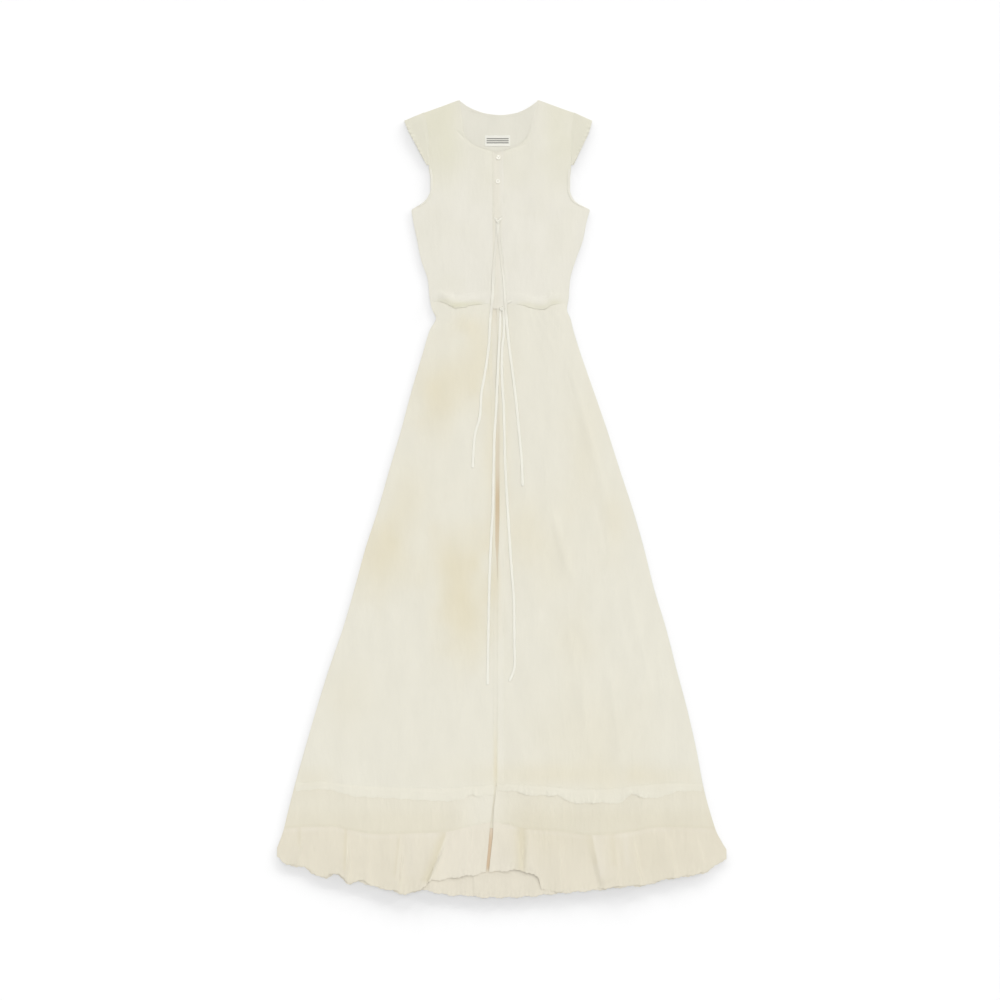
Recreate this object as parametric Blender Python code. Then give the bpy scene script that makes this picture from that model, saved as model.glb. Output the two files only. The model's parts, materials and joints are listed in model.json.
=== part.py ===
"""A sleeveless maxi dress with a drawn waist and a ruffled hem, laid flat on its back.

Metres, +Z up. The front faces up, +Y runs from the hem to the neck, and left and right are as seen from above.
The origin is the centre of the base. Tables are in millimetres: x from the centre line, down from the shoulder point.
"""
from bisect import bisect_right
from collections import namedtuple
import math

import bmesh
import bpy
from mathutils import Vector
from mathutils.bvhtree import BVHTree

MM = 0.001

# Driving dimensions
LENGTH = 1550 * MM  # shoulder point to the lowest point of the back hem
WALL = 1.2 * MM  # one layer of cloth, doubled where it is turned or bound
DOUBLE_WALL = 2.0 * MM
LABEL_WALL = 1.0 * MM
SEAM_GAP = 0.3 * MM  # between pieces that are sewn edge to edge
KNOT_GAP = 0.4 * MM  # between a knot and the cords that meet it
LAY_GAP = 0.5 * MM  # between a piece and the cloth that it lies on
BULGE = 1.4 * MM  # how far the front stands off the back in the middle of a panel
BULGE_TOP = 10 * MM  # where it starts below the shoulder point, and how soon it is whole
BULGE_FADE = 80 * MM
BAND_EDGES = (0.5 * MM, 13 * MM)  # from the right front's inner edge
BAND_ENDS = (412 * MM, 1322 * MM)
BINDING_EDGES = (0.2 * MM, 5 * MM)  # from the armhole's edge
PLACKET = (-18.5 * MM, 2.0 * MM)  # left and right edges of the bodice placket
PLACKET_BOTTOM = 395.5 * MM
PLACKET_DIP = 1.2 * MM  # how much lower the middle of its top edge is
BACK_INSET = 0.8 * MM  # the back's side edges lie just inside the front's
BLOUSE_TOP = 300 * MM  # below here the rows of the front bodice bend towards its lower edge
POUCH_HEIGHT = 4.4 * MM  # how far the bodice puffs up beside the placket, just above the drawn waist
POUCH_CREST = 7 * MM  # above the lower edge
POUCH_SPREAD = 13 * MM
POUCH_START = 14 * MM  # from the placket's middle, and how far from there it is whole
POUCH_FADE = 34 * MM
LIP_OVERLAP = 11 * MM  # how far the bodice hangs over the top of the skirt
LIP_LEAD = 14 * MM  # how far above the top of the skirt the bodice starts to lift over it
LIP_FADE = 10 * MM
FRILL_OVERLAP = 6 * MM  # how far the frill is set above the seam that it covers
FRILL_INSET = 0.004  # share of its width that its ends stay clear of the tier's
TIE_DIAMETER = 5 * MM
BUTTON_RADIUS = 4.6 * MM
BUTTON_HEIGHT = 2.2 * MM
SHOULDER_DROP = 25 * MM
SHOULDER_FADE = 214 * MM  # by this far down the rows of the front bodice are level
CAP_FOLD = 1.5 * MM  # how far inside the fold the layers of a cap sleeve part
CAP_ROUND = 0.6 * MM  # how far the fold reaches beyond the seam line

# Base colours
IVORY = (0.82, 0.79, 0.68)
IVORY_LIGHT = (0.86, 0.84, 0.76)
IVORY_WARM = (0.79, 0.74, 0.62)
SHELL_WHITE = (0.88, 0.86, 0.80)

Side = namedtuple("Side", "down left right")
Knot = namedtuple("Knot", "x down")
Fold = namedtuple("Fold", "x down low_x low_down width height")
Pleat = namedtuple("Pleat", "top_x low_x soft steep height")

# Side seams from underarm to ruffle corner
SIDES = (
    Side(213, 176, 171), Side(233, 173, 165), Side(272, 165, 157), Side(311, 157, 143), Side(350, 144, 132),
    Side(388, 140, 129), Side(408, 136, 126), Side(427, 128, 133), Side(447, 140, 138), Side(486, 152, 150),
    Side(563, 175, 177), Side(641, 196, 204), Side(719, 219, 229), Side(796, 241, 254), Side(874, 266, 276),
    Side(952, 287, 295), Side(1029, 309, 318), Side(1107, 335, 338), Side(1185, 359, 359), Side(1263, 382, 377),
    Side(1340, 404, 392), Side(1418, 425, 416), Side(1472, 437, 436),
)
# Armhole edges, from the shoulder seam's outer end to the underarm
ARMHOLES = (
    Side(25, 152, 140), Side(54, 145, 136), Side(93, 142, 134), Side(130, 142, 134), Side(155, 139, 132),
    Side(175, 139, 132), Side(186, 143, 135), Side(198, 152, 143), Side(213, 176, 171),
)
# Outer edges of the cap sleeves, from the tip to the point where they run into the armhole
CAP_EDGES = (Side(41, 190, 175), Side(62, 181, 169), Side(84, 169, 159), Side(109, 156, 147), Side(126, 146, 139))
BACK_NECK = (
    Knot(-84, 0), Knot(-66, 13), Knot(-51, 20), Knot(-31, 26), Knot(-4, 29), Knot(23, 26), Knot(43, 19),
    Knot(58, 10), Knot(71, 0),
)
# Front neckline: distance of its left and right edges from the centre line at each depth
FRONT_NECK = (
    Side(0, 82, 69), Side(31, 78, 61), Side(58, 75, 54), Side(74, 69, 47), Side(84, 59, 38), Side(91, 46, 27),
    Side(96, 31, 12), Side(99.5, 19, 2.6),
)
# Lower edge of the front bodice, where it blouses over the drawstring
WAIST = (
    Knot(-140, 394), Knot(-126, 391), Knot(-107, 398), Knot(-87, 405), Knot(-52, 401), Knot(-19, 395),
    Knot(3, 395), Knot(27, 396), Knot(54, 403), Knot(84, 407), Knot(105, 398), Knot(130, 393),
)
# Inner edges of the open front, from waist to hem, x of the left panel's edge and of the right panel's
OPENING = (
    Side(384, -20, -5), Side(447, -20, -4), Side(524, -16, -5), Side(590, -11, -6), Side(738, -10, -6.5),
    Side(874, -10, -7), Side(991, -10, -8.6), Side(1165, -10, -8.8), Side(1321, -12, -10.4), Side(1340, -14, -12),
    Side(1404, -21, -18.6), Side(1500, -28, -25.2),
)
TIER_SEAM_LEFT = (Knot(-404, 1331), Knot(-350, 1328), Knot(-276, 1335), Knot(-198, 1338), Knot(-120, 1340),
                  Knot(-62, 1337), Knot(-10, 1333))
TIER_SEAM_RIGHT = (Knot(-12, 1333), Knot(54, 1334), Knot(118, 1340), Knot(175, 1342), Knot(243, 1338),
                   Knot(319, 1330), Knot(393, 1333))
FRILL_LOW_LEFT = (
    Knot(-406, 1343), Knot(-350, 1339), Knot(-315, 1345), Knot(-286, 1353), Knot(-221, 1356), Knot(-155, 1360),
    Knot(-109, 1362), Knot(-78, 1358), Knot(-60, 1350), Knot(-43, 1353), Knot(-10, 1347),
)
FRILL_LOW_RIGHT = (
    Knot(-12, 1342), Knot(29, 1343), Knot(51, 1351), Knot(105, 1351), Knot(142, 1366), Knot(198, 1365),
    Knot(225, 1367), Knot(253, 1349), Knot(282, 1356), Knot(307, 1354), Knot(344, 1343), Knot(394, 1342),
)
RUFFLE_SEAM_LEFT = (Knot(-427, 1416), Knot(-385, 1412), Knot(-332, 1411), Knot(-295, 1418), Knot(-239, 1426),
                    Knot(-171, 1424), Knot(-113, 1422), Knot(-62, 1411), Knot(-20, 1402))
RUFFLE_SEAM_RIGHT = (Knot(-20, 1402), Knot(16, 1408), Knot(51, 1416), Knot(107, 1420), Knot(169, 1428),
                     Knot(212, 1426), Knot(251, 1421), Knot(307, 1412), Knot(377, 1414), Knot(418, 1416))
HEM_LEFT = (
    Knot(-437, 1471), Knot(-412, 1487), Knot(-377, 1498), Knot(-342, 1509), Knot(-307, 1517), Knot(-272, 1522),
    Knot(-237, 1530), Knot(-190, 1540), Knot(-165, 1534), Knot(-148, 1524), Knot(-135, 1515), Knot(-115, 1514),
    Knot(-78, 1508), Knot(-52, 1505), Knot(-28, 1499),
)
HEM_RIGHT = (
    Knot(-26, 1499), Knot(11, 1497), Knot(34, 1495), Knot(49, 1501), Knot(68, 1507), Knot(80, 1531),
    Knot(113, 1537), Knot(152, 1535), Knot(194, 1531), Knot(241, 1526), Knot(276, 1524), Knot(311, 1514),
    Knot(346, 1509), Knot(392, 1500), Knot(416, 1485), Knot(436, 1474),
)
BACK_HEM = (
    Knot(-434, 1468), Knot(-400, 1486), Knot(-300, 1514), Knot(-200, 1533), Knot(-120, 1540), Knot(-85, 1542),
    Knot(-39, 1547), Knot(-12, 1549), Knot(54, 1547), Knot(89, 1543), Knot(124, 1538), Knot(200, 1528),
    Knot(300, 1511), Knot(400, 1490), Knot(434, 1472),
)
# Long soft ridges in the front skirt
SKIRT_FOLDS = (
    Fold(126, 500, 219, 850, 13, 2.0), Fold(92, 780, 142, 960, 12, 1.6), Fold(120, 960, 172, 1290, 15, 1.6),
    Fold(236, 900, 296, 1180, 14, 1.4), Fold(42, 620, 70, 1100, 16, 1.2), Fold(200, 1060, 236, 1320, 12, 1.4),
    Fold(-70, 450, -150, 800, 18, 1.3), Fold(-150, 700, -262, 1120, 20, 1.2), Fold(-60, 900, -92, 1300, 18, 1.1),
)
# Ruffle pleats: where each starts at the seam and ends at the hem, its soft and steep widths, and its height.
# A negative steep width puts the steep side on the left.
PLEATS = (
    Pleat(-385, -404, 22, 9, 3.2), Pleat(-300, -306, 30, 9, 3.6), Pleat(-258, -262, 14, 12, 2.4),
    Pleat(-196, -206, 26, 9, 3.6), Pleat(-110, -172, 34, 10, 6.0), Pleat(-62, -74, 16, 14, 2.0),
    Pleat(30, 28, 26, 9, 4.2), Pleat(54, 46, 26, -9, 4.2), Pleat(110, 112, 18, 14, 2.2),
    Pleat(168, 204, 30, 9, 4.2), Pleat(212, 229, 20, 9, 3.8), Pleat(251, 275, 22, 9, 3.8),
    Pleat(318, 334, 20, 12, 2.6), Pleat(372, 392, 18, 10, 2.8),
)
PLEAT_RISE = 0.55  # share of the ruffle's length over which a pleat rises
GATHER_TOP = 420 * MM  # depth of the drawn waist's gathers
GATHER_SPACING = 21 * MM  # along the drawn waist
GATHER_HEIGHT = 0.9 * MM
GATHER_LENGTH = 90 * MM
GATHER_LEAD = 20 * MM  # how far above their top the gathers start to rise
GATHER_SPREAD = 467 * MM  # how far below it they have fanned out to twice their spacing
WAVE_DRIFT = ((0.55, 71 * MM, 0.0), (0.35, 29 * MM, 1.3))  # size, length and start of what makes waves uneven
WAVE_SPACING = 33 * MM  # along the hem
WAVE_REACH = 1.8 * MM
WAVE_LIFT = 2.2 * MM
WAVE_START = 0.7  # share of the ruffle's length below which its hem lifts
BACK_WAVE_SHIFT = 10 * MM
FRILL_WAVE_SPACING = 29 * MM
FRILL_WAVE_REACH = 1.2 * MM
FRILL_WAVE_LIFT = 2.6 * MM

# Routes of the ties, chosen by hand
BUST_KNOT = Knot(-7.6, 236.5)
WAIST_KNOT = Knot(-0.3, 406.5)
KNOT_SIZE = (11 * MM, 9 * MM, 6.5 * MM)
BUST_CORD_LEFT = (Knot(-20, 222), Knot(-17, 225.5), Knot(-14, 229))
BUST_CORD_RIGHT = (Knot(5, 222), Knot(2, 225.5), Knot(-1, 229))
WAIST_CORD_LEFT = (Knot(-27, 381), Knot(-22, 384), Knot(-15, 390), Knot(-9, 396))
WAIST_CORD_RIGHT = (Knot(23, 389), Knot(18, 391), Knot(12, 395))
BUST_TIE_LEFT = (
    Knot(-10.6, 241.4), Knot(-11, 254), Knot(-13, 282), Knot(-16, 315), Knot(-17, 350), Knot(-19, 388),
    Knot(-23, 427), Knot(-26, 480), Knot(-34, 536), Knot(-40, 569), Knot(-43, 614), Knot(-53, 653),
    Knot(-57, 715),
)
BUST_TIE_RIGHT = (
    Knot(-4.7, 241.4), Knot(-4.6, 254), Knot(-2.6, 287), Knot(0, 320), Knot(3.4, 350), Knot(7, 388),
    Knot(10.6, 427), Knot(15.5, 476), Knot(25, 556), Knot(32, 633), Knot(38, 699), Knot(40, 750),
)
WAIST_TIE_LEFT = (
    Knot(-3.2, 411.4), Knot(-3.6, 430), Knot(-4, 478), Knot(-8, 554), Knot(-11.5, 602), Knot(-15, 660),
    Knot(-17, 738), Knot(-18, 796), Knot(-23, 890), Knot(-26, 1004), Knot(-28, 1136),
)
WAIST_TIE_RIGHT = (
    Knot(2.6, 411.4), Knot(2.6, 430), Knot(2, 478), Knot(2, 554), Knot(4, 608), Knot(6, 699), Knot(9, 761),
    Knot(17, 890), Knot(23, 971), Knot(24, 1049), Knot(24, 1101), Knot(14, 1129),
)
CORDS = {  # short stretches from the cloth to each knot
    "bust_cord_left": (BUST_CORD_LEFT, BUST_KNOT), "bust_cord_right": (BUST_CORD_RIGHT, BUST_KNOT),
    "waist_cord_left": (WAIST_CORD_LEFT, WAIST_KNOT), "waist_cord_right": (WAIST_CORD_RIGHT, WAIST_KNOT),
}
TIES = {  # free ends, from each knot
    "bust_tie_left": BUST_TIE_LEFT, "bust_tie_right": BUST_TIE_RIGHT,
    "waist_tie_left": WAIST_TIE_LEFT, "waist_tie_right": WAIST_TIE_RIGHT,
}
LABEL = (-33 * MM, 16 * MM, 68 * MM, 90 * MM)  # left, right, top and bottom edges
BUTTONS = (Knot(-7, 114), Knot(-8, 158))
BUTTON_PROFILE = ((0.0, 0.0), (0.7, 0.0), (1.0, 0.35), (1.0, 0.75), (0.86, 1.0), (0.7, 0.8), (0.0, 0.8))

# How finely each piece is divided
CAP_LEVELS = (25, 39, 54, 73, 93, 110, 126)  # rows that the back bodice and the cap sleeves share
BACK_LEVELS = (140, 155, 175, 186, 198, 206, 213, 260, 330, 388)
BODICE_COLUMNS = 8
BODICE_LEVELS = (
    0, 16, 31, 45, 58, 68, 76, 82, 87, 91, 94.5, 97.5, 99.5, 112, 124, 136, 146, 156, 166, 176, 184, 191, 197, 202,
    207, 213, 232, 255, 280, 305, 330, 350, 363, 372, 379, 385, 390, 394,
)
BINDING_LEVELS = (124, 207)  # the bodice's rows between which the armhole is bound
SHOULDER_COLUMN = 0.12  # share of the back bodice's width between its edge and one column more
PLACKET_ROWS = [i / 16 for i in range(16)] + [0.97, 0.985, 1.0]
SKIRT_COLUMNS = 12
SKIRT_TOP_ROWS = [0.0, 0.012, 0.026, 0.042, 0.06, 0.08]
SKIRT_ROWS = 20
BACK_SKIRT_ROWS = 14
BACK_TIER_ROWS = 2
RUFFLE_PER_TIER = 4
RUFFLE_ROWS = 5
FRILL_COLUMNS = 36
BACK_RUFFLE_COLUMNS = 72
BUTTON_STEPS = 14
ROUTE_STEPS = 24
SLOPE_STEP = 1 * MM
BINDING_FEEL = 1 * MM  # how far around a point the cloth below sets the height of what lies on it
FRILL_FEEL = 2.5 * MM
BAND_FEEL = 3 * MM

# Rows where the front's pieces meet, and the level seams of the back
TIER_ROW = 1335 * MM
RUFFLE_ROW = 1412 * MM
HEM_ROW = 1500 * MM
BACK_WAIST = 388 * MM
BACK_TIER_SEAM = 1334 * MM
BACK_RUFFLE_SEAM = 1414 * MM
SKIRT_TOP = OPENING[0].down * MM
CENTRE_X = (SIDES[-1].right - SIDES[-1].left) / 2 * MM


def smooth_line(knots):
    """Return a smooth function through (position, value) pairs that never overshoots them."""
    places, values = zip(*sorted(knots))
    spans = [high - low for low, high in zip(places, places[1:])]
    slopes = [(high - low) / span for low, high, span in zip(values, values[1:], spans)]
    tangents = [slopes[0]]
    for before, after in zip(slopes, slopes[1:]):
        tangents.append(2 * before * after / (before + after) if before * after > 0 else 0.0)
    tangents.append(slopes[-1])

    def value_at(place):
        place = min(max(place, places[0]), places[-1])
        i = min(bisect_right(places, place) - 1, len(spans) - 1)
        span = spans[i]
        t = (place - places[i]) / span
        start = (1 + 2 * t) * (1 - t) ** 2 * values[i] + t * (1 - t) ** 2 * span * tangents[i]
        end = t * t * (3 - 2 * t) * values[i + 1] + t * t * (t - 1) * span * tangents[i + 1]
        return start + end

    return value_at


def by_down(table, column):
    """Smooth line of one column of a Side table against depth, in metres."""
    return smooth_line([(row.down * MM, getattr(row, column) * MM) for row in table])


def by_x(table):
    """Smooth line of depth against x of a Knot table, in metres."""
    return smooth_line([(row.x * MM, row.down * MM) for row in table])


def ease(t):
    """Smooth step from 0 to 1."""
    t = min(max(t, 0.0), 1.0)
    return t * t * (3 - 2 * t)


def mix(a, b, t):
    """Value t of the way from a to b."""
    return a + (b - a) * t


LEFT_SIDE = by_down(SIDES, "left")
RIGHT_SIDE = by_down(SIDES, "right")
LEFT_ARMHOLE = by_down(ARMHOLES, "left")
RIGHT_ARMHOLE = by_down(ARMHOLES, "right")
LEFT_EDGE = by_down(OPENING, "left")
RIGHT_EDGE = by_down(OPENING, "right")
WAIST_LINE = by_x(WAIST)
TIER_LINE = {-1: by_x(TIER_SEAM_LEFT), 1: by_x(TIER_SEAM_RIGHT)}
FRILL_LINE = {-1: by_x(FRILL_LOW_LEFT), 1: by_x(FRILL_LOW_RIGHT)}
RUFFLE_LINE = {-1: by_x(RUFFLE_SEAM_LEFT), 1: by_x(RUFFLE_SEAM_RIGHT)}
HEM_LINE = {-1: by_x(HEM_LEFT), 1: by_x(HEM_RIGHT)}
BACK_HEM_LINE = by_x(BACK_HEM)
UNDERARM = ARMHOLES[-1].down * MM
NECK_BOTTOM = FRONT_NECK[-1].down * MM
BACK_TOP = WALL + SEAM_GAP  # lowest height of the front layer


def body_edge(side, down):
    """Outer edge of the dress at a depth: armhole above the underarm, side seam below. Side is -1 or 1."""
    if down < UNDERARM:
        return side * (LEFT_ARMHOLE if side < 0 else RIGHT_ARMHOLE)(down)
    return side * (LEFT_SIDE if side < 0 else RIGHT_SIDE)(down)


def fold_height(fold, x, down):
    """Height of one long soft ridge at a place."""
    ax, ay = fold.x * MM, fold.down * MM
    bx, by = fold.low_x * MM - ax, fold.low_down * MM - ay
    length = math.hypot(bx, by)
    along = ((x - ax) * bx + (down - ay) * by) / length
    across = ((x - ax) * by - (down - ay) * bx) / length
    ends = ease(along / (0.3 * length)) * ease((length - along) / (0.3 * length))
    return fold.height * MM * ends * math.exp(-((across / (fold.width * MM)) ** 2))


def gather_height(x, down):
    """Height of the small gathers that fan out below the drawn waist."""
    below = down - GATHER_TOP
    fan = x * GATHER_SPREAD / (GATHER_SPREAD + max(below, 0.0))
    fade = ease((below + GATHER_LEAD) / (1.5 * GATHER_LEAD)) * (1 - ease(below / GATHER_LENGTH))
    return GATHER_HEIGHT * fade * (0.5 - 0.5 * math.cos(2 * math.pi * fan / GATHER_SPACING))


def front_under(x, down):
    """Height of the lower face of the front layer, without the ruffle's pleats."""
    side = -1 if x < 0 else 1
    share = min(abs(x / body_edge(side, down)), 1.0)
    crown = BULGE * (1 - share ** 4) * ease((down - BULGE_TOP) / BULGE_FADE)
    folds = sum(fold_height(fold, x, down) for fold in SKIRT_FOLDS)
    return BACK_TOP + crown + (folds + gather_height(x, down)) * (1 - share ** 8)


def bodice_under(x, down):
    """Height of the lower face of the front bodice, which lifts over the top of the skirt."""
    above_edge = WAIST_LINE(x) - down
    side = -1 if x < 0 else 1
    share = min(abs(x / body_edge(side, down)), 1.0)
    clear = (WALL + 2 * LAY_GAP) * ease((LIP_OVERLAP + LIP_LEAD - above_edge) / LIP_FADE)
    beside_placket = ease((abs(x - sum(PLACKET) / 2) - POUCH_START) / POUCH_FADE)
    pouch = POUCH_HEIGHT * beside_placket * (1 - share ** 3)
    pouch *= math.exp(-(((above_edge - POUCH_CREST) / POUCH_SPREAD) ** 2))
    return front_under(x, down) + clear + pouch


def pleat_height(pleat, x, fall):
    """Height of one ruffle pleat, fall running from 0 at the seam to 1 at the hem."""
    crest = mix(pleat.top_x, pleat.low_x, fall) * MM
    toward = math.copysign(1.0, pleat.steep)
    offset = (x - crest) * toward
    height = pleat.height * MM * ease(fall / PLEAT_RISE)
    if offset < 0:
        return height * math.exp(-((offset / (pleat.soft * MM)) ** 2))
    return height * (1 - ease(offset / (abs(pleat.steep) * MM)))


def wave(x, spacing):
    """Uneven wave between -1 and 1 along an edge."""
    drift = sum(size * math.sin(x / length + start) for size, length, start in WAVE_DRIFT)
    return math.sin(2 * math.pi * x / spacing + drift)


def grid(place, under, columns, rows, wall):
    """Upper and lower point grids of a piece of cloth whose wall keeps its thickness on slopes."""
    upper, lower = [], []
    for v in rows:
        top_row, low_row = [], []
        for u in columns:
            x, down = place(u, v)
            z = under(x, down)
            slope_x = (under(x + SLOPE_STEP, down) - under(x - SLOPE_STEP, down)) / (2 * SLOPE_STEP)
            slope_y = (under(x, down + SLOPE_STEP) - under(x, down - SLOPE_STEP)) / (2 * SLOPE_STEP)
            thick = wall * math.sqrt(1 + slope_x ** 2 + slope_y ** 2)
            low_row.append(to_world(x, down, z))
            top_row.append(to_world(x, down, z + thick))
        upper.append(top_row)
        lower.append(low_row)
    return upper, lower


def to_world(x, down, z):
    """Point in the part's frame."""
    return Vector((x - CENTRE_X, LENGTH / 2 - down, z))


def shared(count):
    """Even steps from 0 to 1."""
    return [i / count for i in range(count + 1)]


def material(name, color, roughness=0.85):
    """Plain Principled finish."""
    finish = bpy.data.materials.new(name)
    finish.use_nodes = True
    shader = finish.node_tree.nodes["Principled BSDF"]
    shader.inputs["Base Color"].default_value = (*color, 1.0)
    shader.inputs["Roughness"].default_value = roughness
    shader.inputs["Metallic"].default_value = 0.0
    return finish


def add_object(name, mesh, color):
    """Link a finished mesh as a named object with a material of its own."""
    mesh.materials.append(material(name, color))
    piece = bpy.data.objects.new(name, mesh)
    bpy.context.scene.collection.objects.link(piece)
    return piece


def wall_between(name, upper, lower, color):
    """Closed wall between two point grids of the same size."""
    rows, columns = len(upper), len(upper[0])
    shape = bmesh.new()
    top = [[shape.verts.new(point) for point in row] for row in upper]
    low = [[shape.verts.new(point) for point in row] for row in lower]
    for i in range(rows - 1):
        for j in range(columns - 1):
            for sheet in (top, low):
                a, b, c, d = sheet[i][j], sheet[i][j + 1], sheet[i + 1][j + 1], sheet[i + 1][j]
                shape.faces.new((a, b, c))
                shape.faces.new((a, c, d))
    rim = [(0, j) for j in range(columns)] + [(i, columns - 1) for i in range(1, rows)]
    rim += [(rows - 1, j) for j in range(columns - 2, -1, -1)] + [(i, 0) for i in range(rows - 2, 0, -1)]
    for (i, j), (k, m) in zip(rim, rim[1:] + rim[:1]):
        shape.faces.new((top[i][j], top[k][m], low[k][m]))
        shape.faces.new((top[i][j], low[k][m], low[i][j]))
    bmesh.ops.recalc_face_normals(shape, faces=shape.faces)
    mesh = bpy.data.meshes.new(name)
    shape.to_mesh(mesh)
    shape.free()
    return add_object(name, mesh, color)


def cloth(name, place, under, columns, rows, color=IVORY, wall=WALL):
    """One piece of cloth: place gives x and depth from grid shares, under its lower face's height."""
    upper, lower = grid(place, under, columns, rows, wall)
    return wall_between(name, upper, lower, color)


def floor_level(x, down):
    """Lower face of what lies on the floor."""
    return 0.0


class Pile:
    """The pieces laid so far, to find the height of the topmost one at a place."""

    def __init__(self):
        self.trees = []

    def add(self, piece):
        """Count a piece among those that others lie on."""
        shape = bmesh.new()
        mesh = piece.to_mesh()
        shape.from_mesh(mesh)
        piece.to_mesh_clear()
        self.trees.append(BVHTree.FromBMesh(shape))
        shape.free()

    def top(self, x, down):
        """Height of the topmost surface at a place, or the floor."""
        start = to_world(x, down, 0.1)
        hits = [tree.ray_cast(start, Vector((0, 0, -1)))[0] for tree in self.trees]
        return max([hit.z for hit in hits if hit] + [0.0])

    def top_around(self, x, down, reach):
        """Greatest height within reach of a place."""
        ring = [(reach * math.cos(a * math.pi / 4), reach * math.sin(a * math.pi / 4)) for a in range(8)]
        half = [(dx / 2, dy / 2) for dx, dy in ring]
        return max(self.top(x + dx, down + dy) for dx, dy in [(0, 0)] + ring + half)


def back_bodice():
    """Back bodice: shoulder to waist, with the neck curve and both armholes."""
    neck = by_x(BACK_NECK)
    tips = (-ARMHOLES[0].left * MM, ARMHOLES[0].right * MM)
    neck_ends = (BACK_NECK[0].x * MM, BACK_NECK[-1].x * MM)

    def top_edge(x):
        if x < neck_ends[0]:
            return SHOULDER_DROP * (neck_ends[0] - x) / (neck_ends[0] - tips[0])
        if x > neck_ends[1]:
            return SHOULDER_DROP * (x - neck_ends[1]) / (tips[1] - neck_ends[1])
        return neck(x)

    def place(u, v):
        edge_down = mix(SHOULDER_DROP, BACK_WAIST, v)
        x = mix(body_edge(-1, edge_down), body_edge(1, edge_down), u)
        top_x = mix(tips[0], tips[1], u)
        return x, mix(top_edge(top_x), BACK_WAIST, v)

    columns = [(row.x * MM - tips[0]) / (tips[1] - tips[0]) for row in BACK_NECK]
    columns = [0.0, SHOULDER_COLUMN] + columns + [1 - SHOULDER_COLUMN, 1.0]
    edge_rows = [(level * MM - SHOULDER_DROP) / (BACK_WAIST - SHOULDER_DROP) for level in CAP_LEVELS + BACK_LEVELS]
    return cloth("back_bodice", place, floor_level, columns, edge_rows)


def bodice_place(side):
    """Grid of one front bodice half: armhole and side seam outside, neckline and placket edge inside."""
    neck = by_down(FRONT_NECK, "left" if side < 0 else "right")
    inner = PLACKET[0] - SEAM_GAP if side < 0 else PLACKET[1] + SEAM_GAP
    lowest = BODICE_LEVELS[-1] * MM

    def place(u, v):
        level = BODICE_LEVELS[v] * MM
        drop = SHOULDER_DROP * (1 - min(level / SHOULDER_FADE, 1.0))
        edge = side * neck(level) if level < NECK_BOTTOM else inner
        x = mix(body_edge(side, level + drop), edge, u)
        stretch = ease((level - BLOUSE_TOP) / (lowest - BLOUSE_TOP))
        return x, level + drop * (1 - u) + (WAIST_LINE(x) - lowest) * stretch

    return place


def front_bodice(name, side):
    """Front bodice half, from the shoulder to its blousing lower edge."""
    return cloth(name, bodice_place(side), bodice_under, shared(BODICE_COLUMNS), range(len(BODICE_LEVELS)))


def placket():
    """Doubled button band down the bodice's centre front."""

    def place(u, v):
        top = NECK_BOTTOM + PLACKET_DIP * (1 - abs(2 * u - 1))
        return mix(*PLACKET, u), mix(top, PLACKET_BOTTOM, v)

    return cloth("placket", place, bodice_under, shared(2), PLACKET_ROWS, IVORY_LIGHT, DOUBLE_WALL)


def cap_sleeve(name, side):
    """Cap sleeve: one piece folded over the shoulder, its two layers lying on each other."""
    edge = by_down(CAP_EDGES, "left" if side < 0 else "right")
    seam = LEFT_ARMHOLE if side < 0 else RIGHT_ARMHOLE
    seam_top, seam_low = SHOULDER_DROP, CAP_LEVELS[-1] * MM
    edge_top, edge_low = CAP_EDGES[0].down * MM, CAP_EDGES[-1].down * MM

    def place(u, v):
        inner_down, outer_down = mix(seam_top, seam_low, v), mix(edge_top, edge_low, v)
        inner, outer = seam(inner_down) + SEAM_GAP, edge(outer_down)
        return side * mix(inner, outer, u), mix(inner_down, outer_down, u)

    def point(u, v, z, pull=0.0):
        x, down = place(u, v)
        return to_world(x, down + pull, z)

    shares = [(level - CAP_LEVELS[0]) / (CAP_LEVELS[-1] - CAP_LEVELS[0]) for level in CAP_LEVELS]
    columns = shared(3)
    front_low, front_top = BACK_TOP, BACK_TOP + WALL
    outer = [[point(u, v, front_top) for u in columns] for v in reversed(shares)]
    inner = [[point(u, v, front_low, CAP_FOLD * (v == 0)) for u in columns] for v in reversed(shares)]
    outer.append([point(u, 0.0, front_top / 2, -CAP_ROUND) for u in columns])
    inner.append([point(u, 0.0, front_top / 2, CAP_FOLD - CAP_ROUND / 2) for u in columns])
    outer += [[point(u, v, 0.0) for u in columns] for v in shares]
    inner += [[point(u, v, WALL, CAP_FOLD * (v == 0)) for u in columns] for v in shares]
    return wall_between(name, outer, inner, IVORY)


def binding(name, side, pile):
    """Narrow binding along the front of one armhole, below the cap, laid on the bodice's own rows."""
    place_on_bodice = bodice_place(side)
    rows = [i for i, level in enumerate(BODICE_LEVELS) if BINDING_LEVELS[0] <= level <= BINDING_LEVELS[1]]

    def place(u, v):
        x, down = place_on_bodice(0.0, v)
        return x - side * mix(*BINDING_EDGES, u), down

    def under(x, down):
        return pile.top_around(x, down, BINDING_FEEL) + LAY_GAP

    return cloth(name, place, under, shared(2), rows, IVORY_LIGHT)


def seam_x(side, u, row):
    """x at a share u of the way from the side seam to the open front, at one row."""
    edge = LEFT_EDGE if side < 0 else RIGHT_EDGE
    return mix(body_edge(side, row), edge(row), u)


def shared_seam(line, side, u, row):
    """Depth of a seam, straight between the columns that the pieces on both sides of it share."""
    place = min(int(u * SKIRT_COLUMNS + 1e-9), SKIRT_COLUMNS - 1)
    low, high = place / SKIRT_COLUMNS, (place + 1) / SKIRT_COLUMNS
    return mix(line(seam_x(side, low, row)), line(seam_x(side, high, row)), (u - low) / (high - low))


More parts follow.
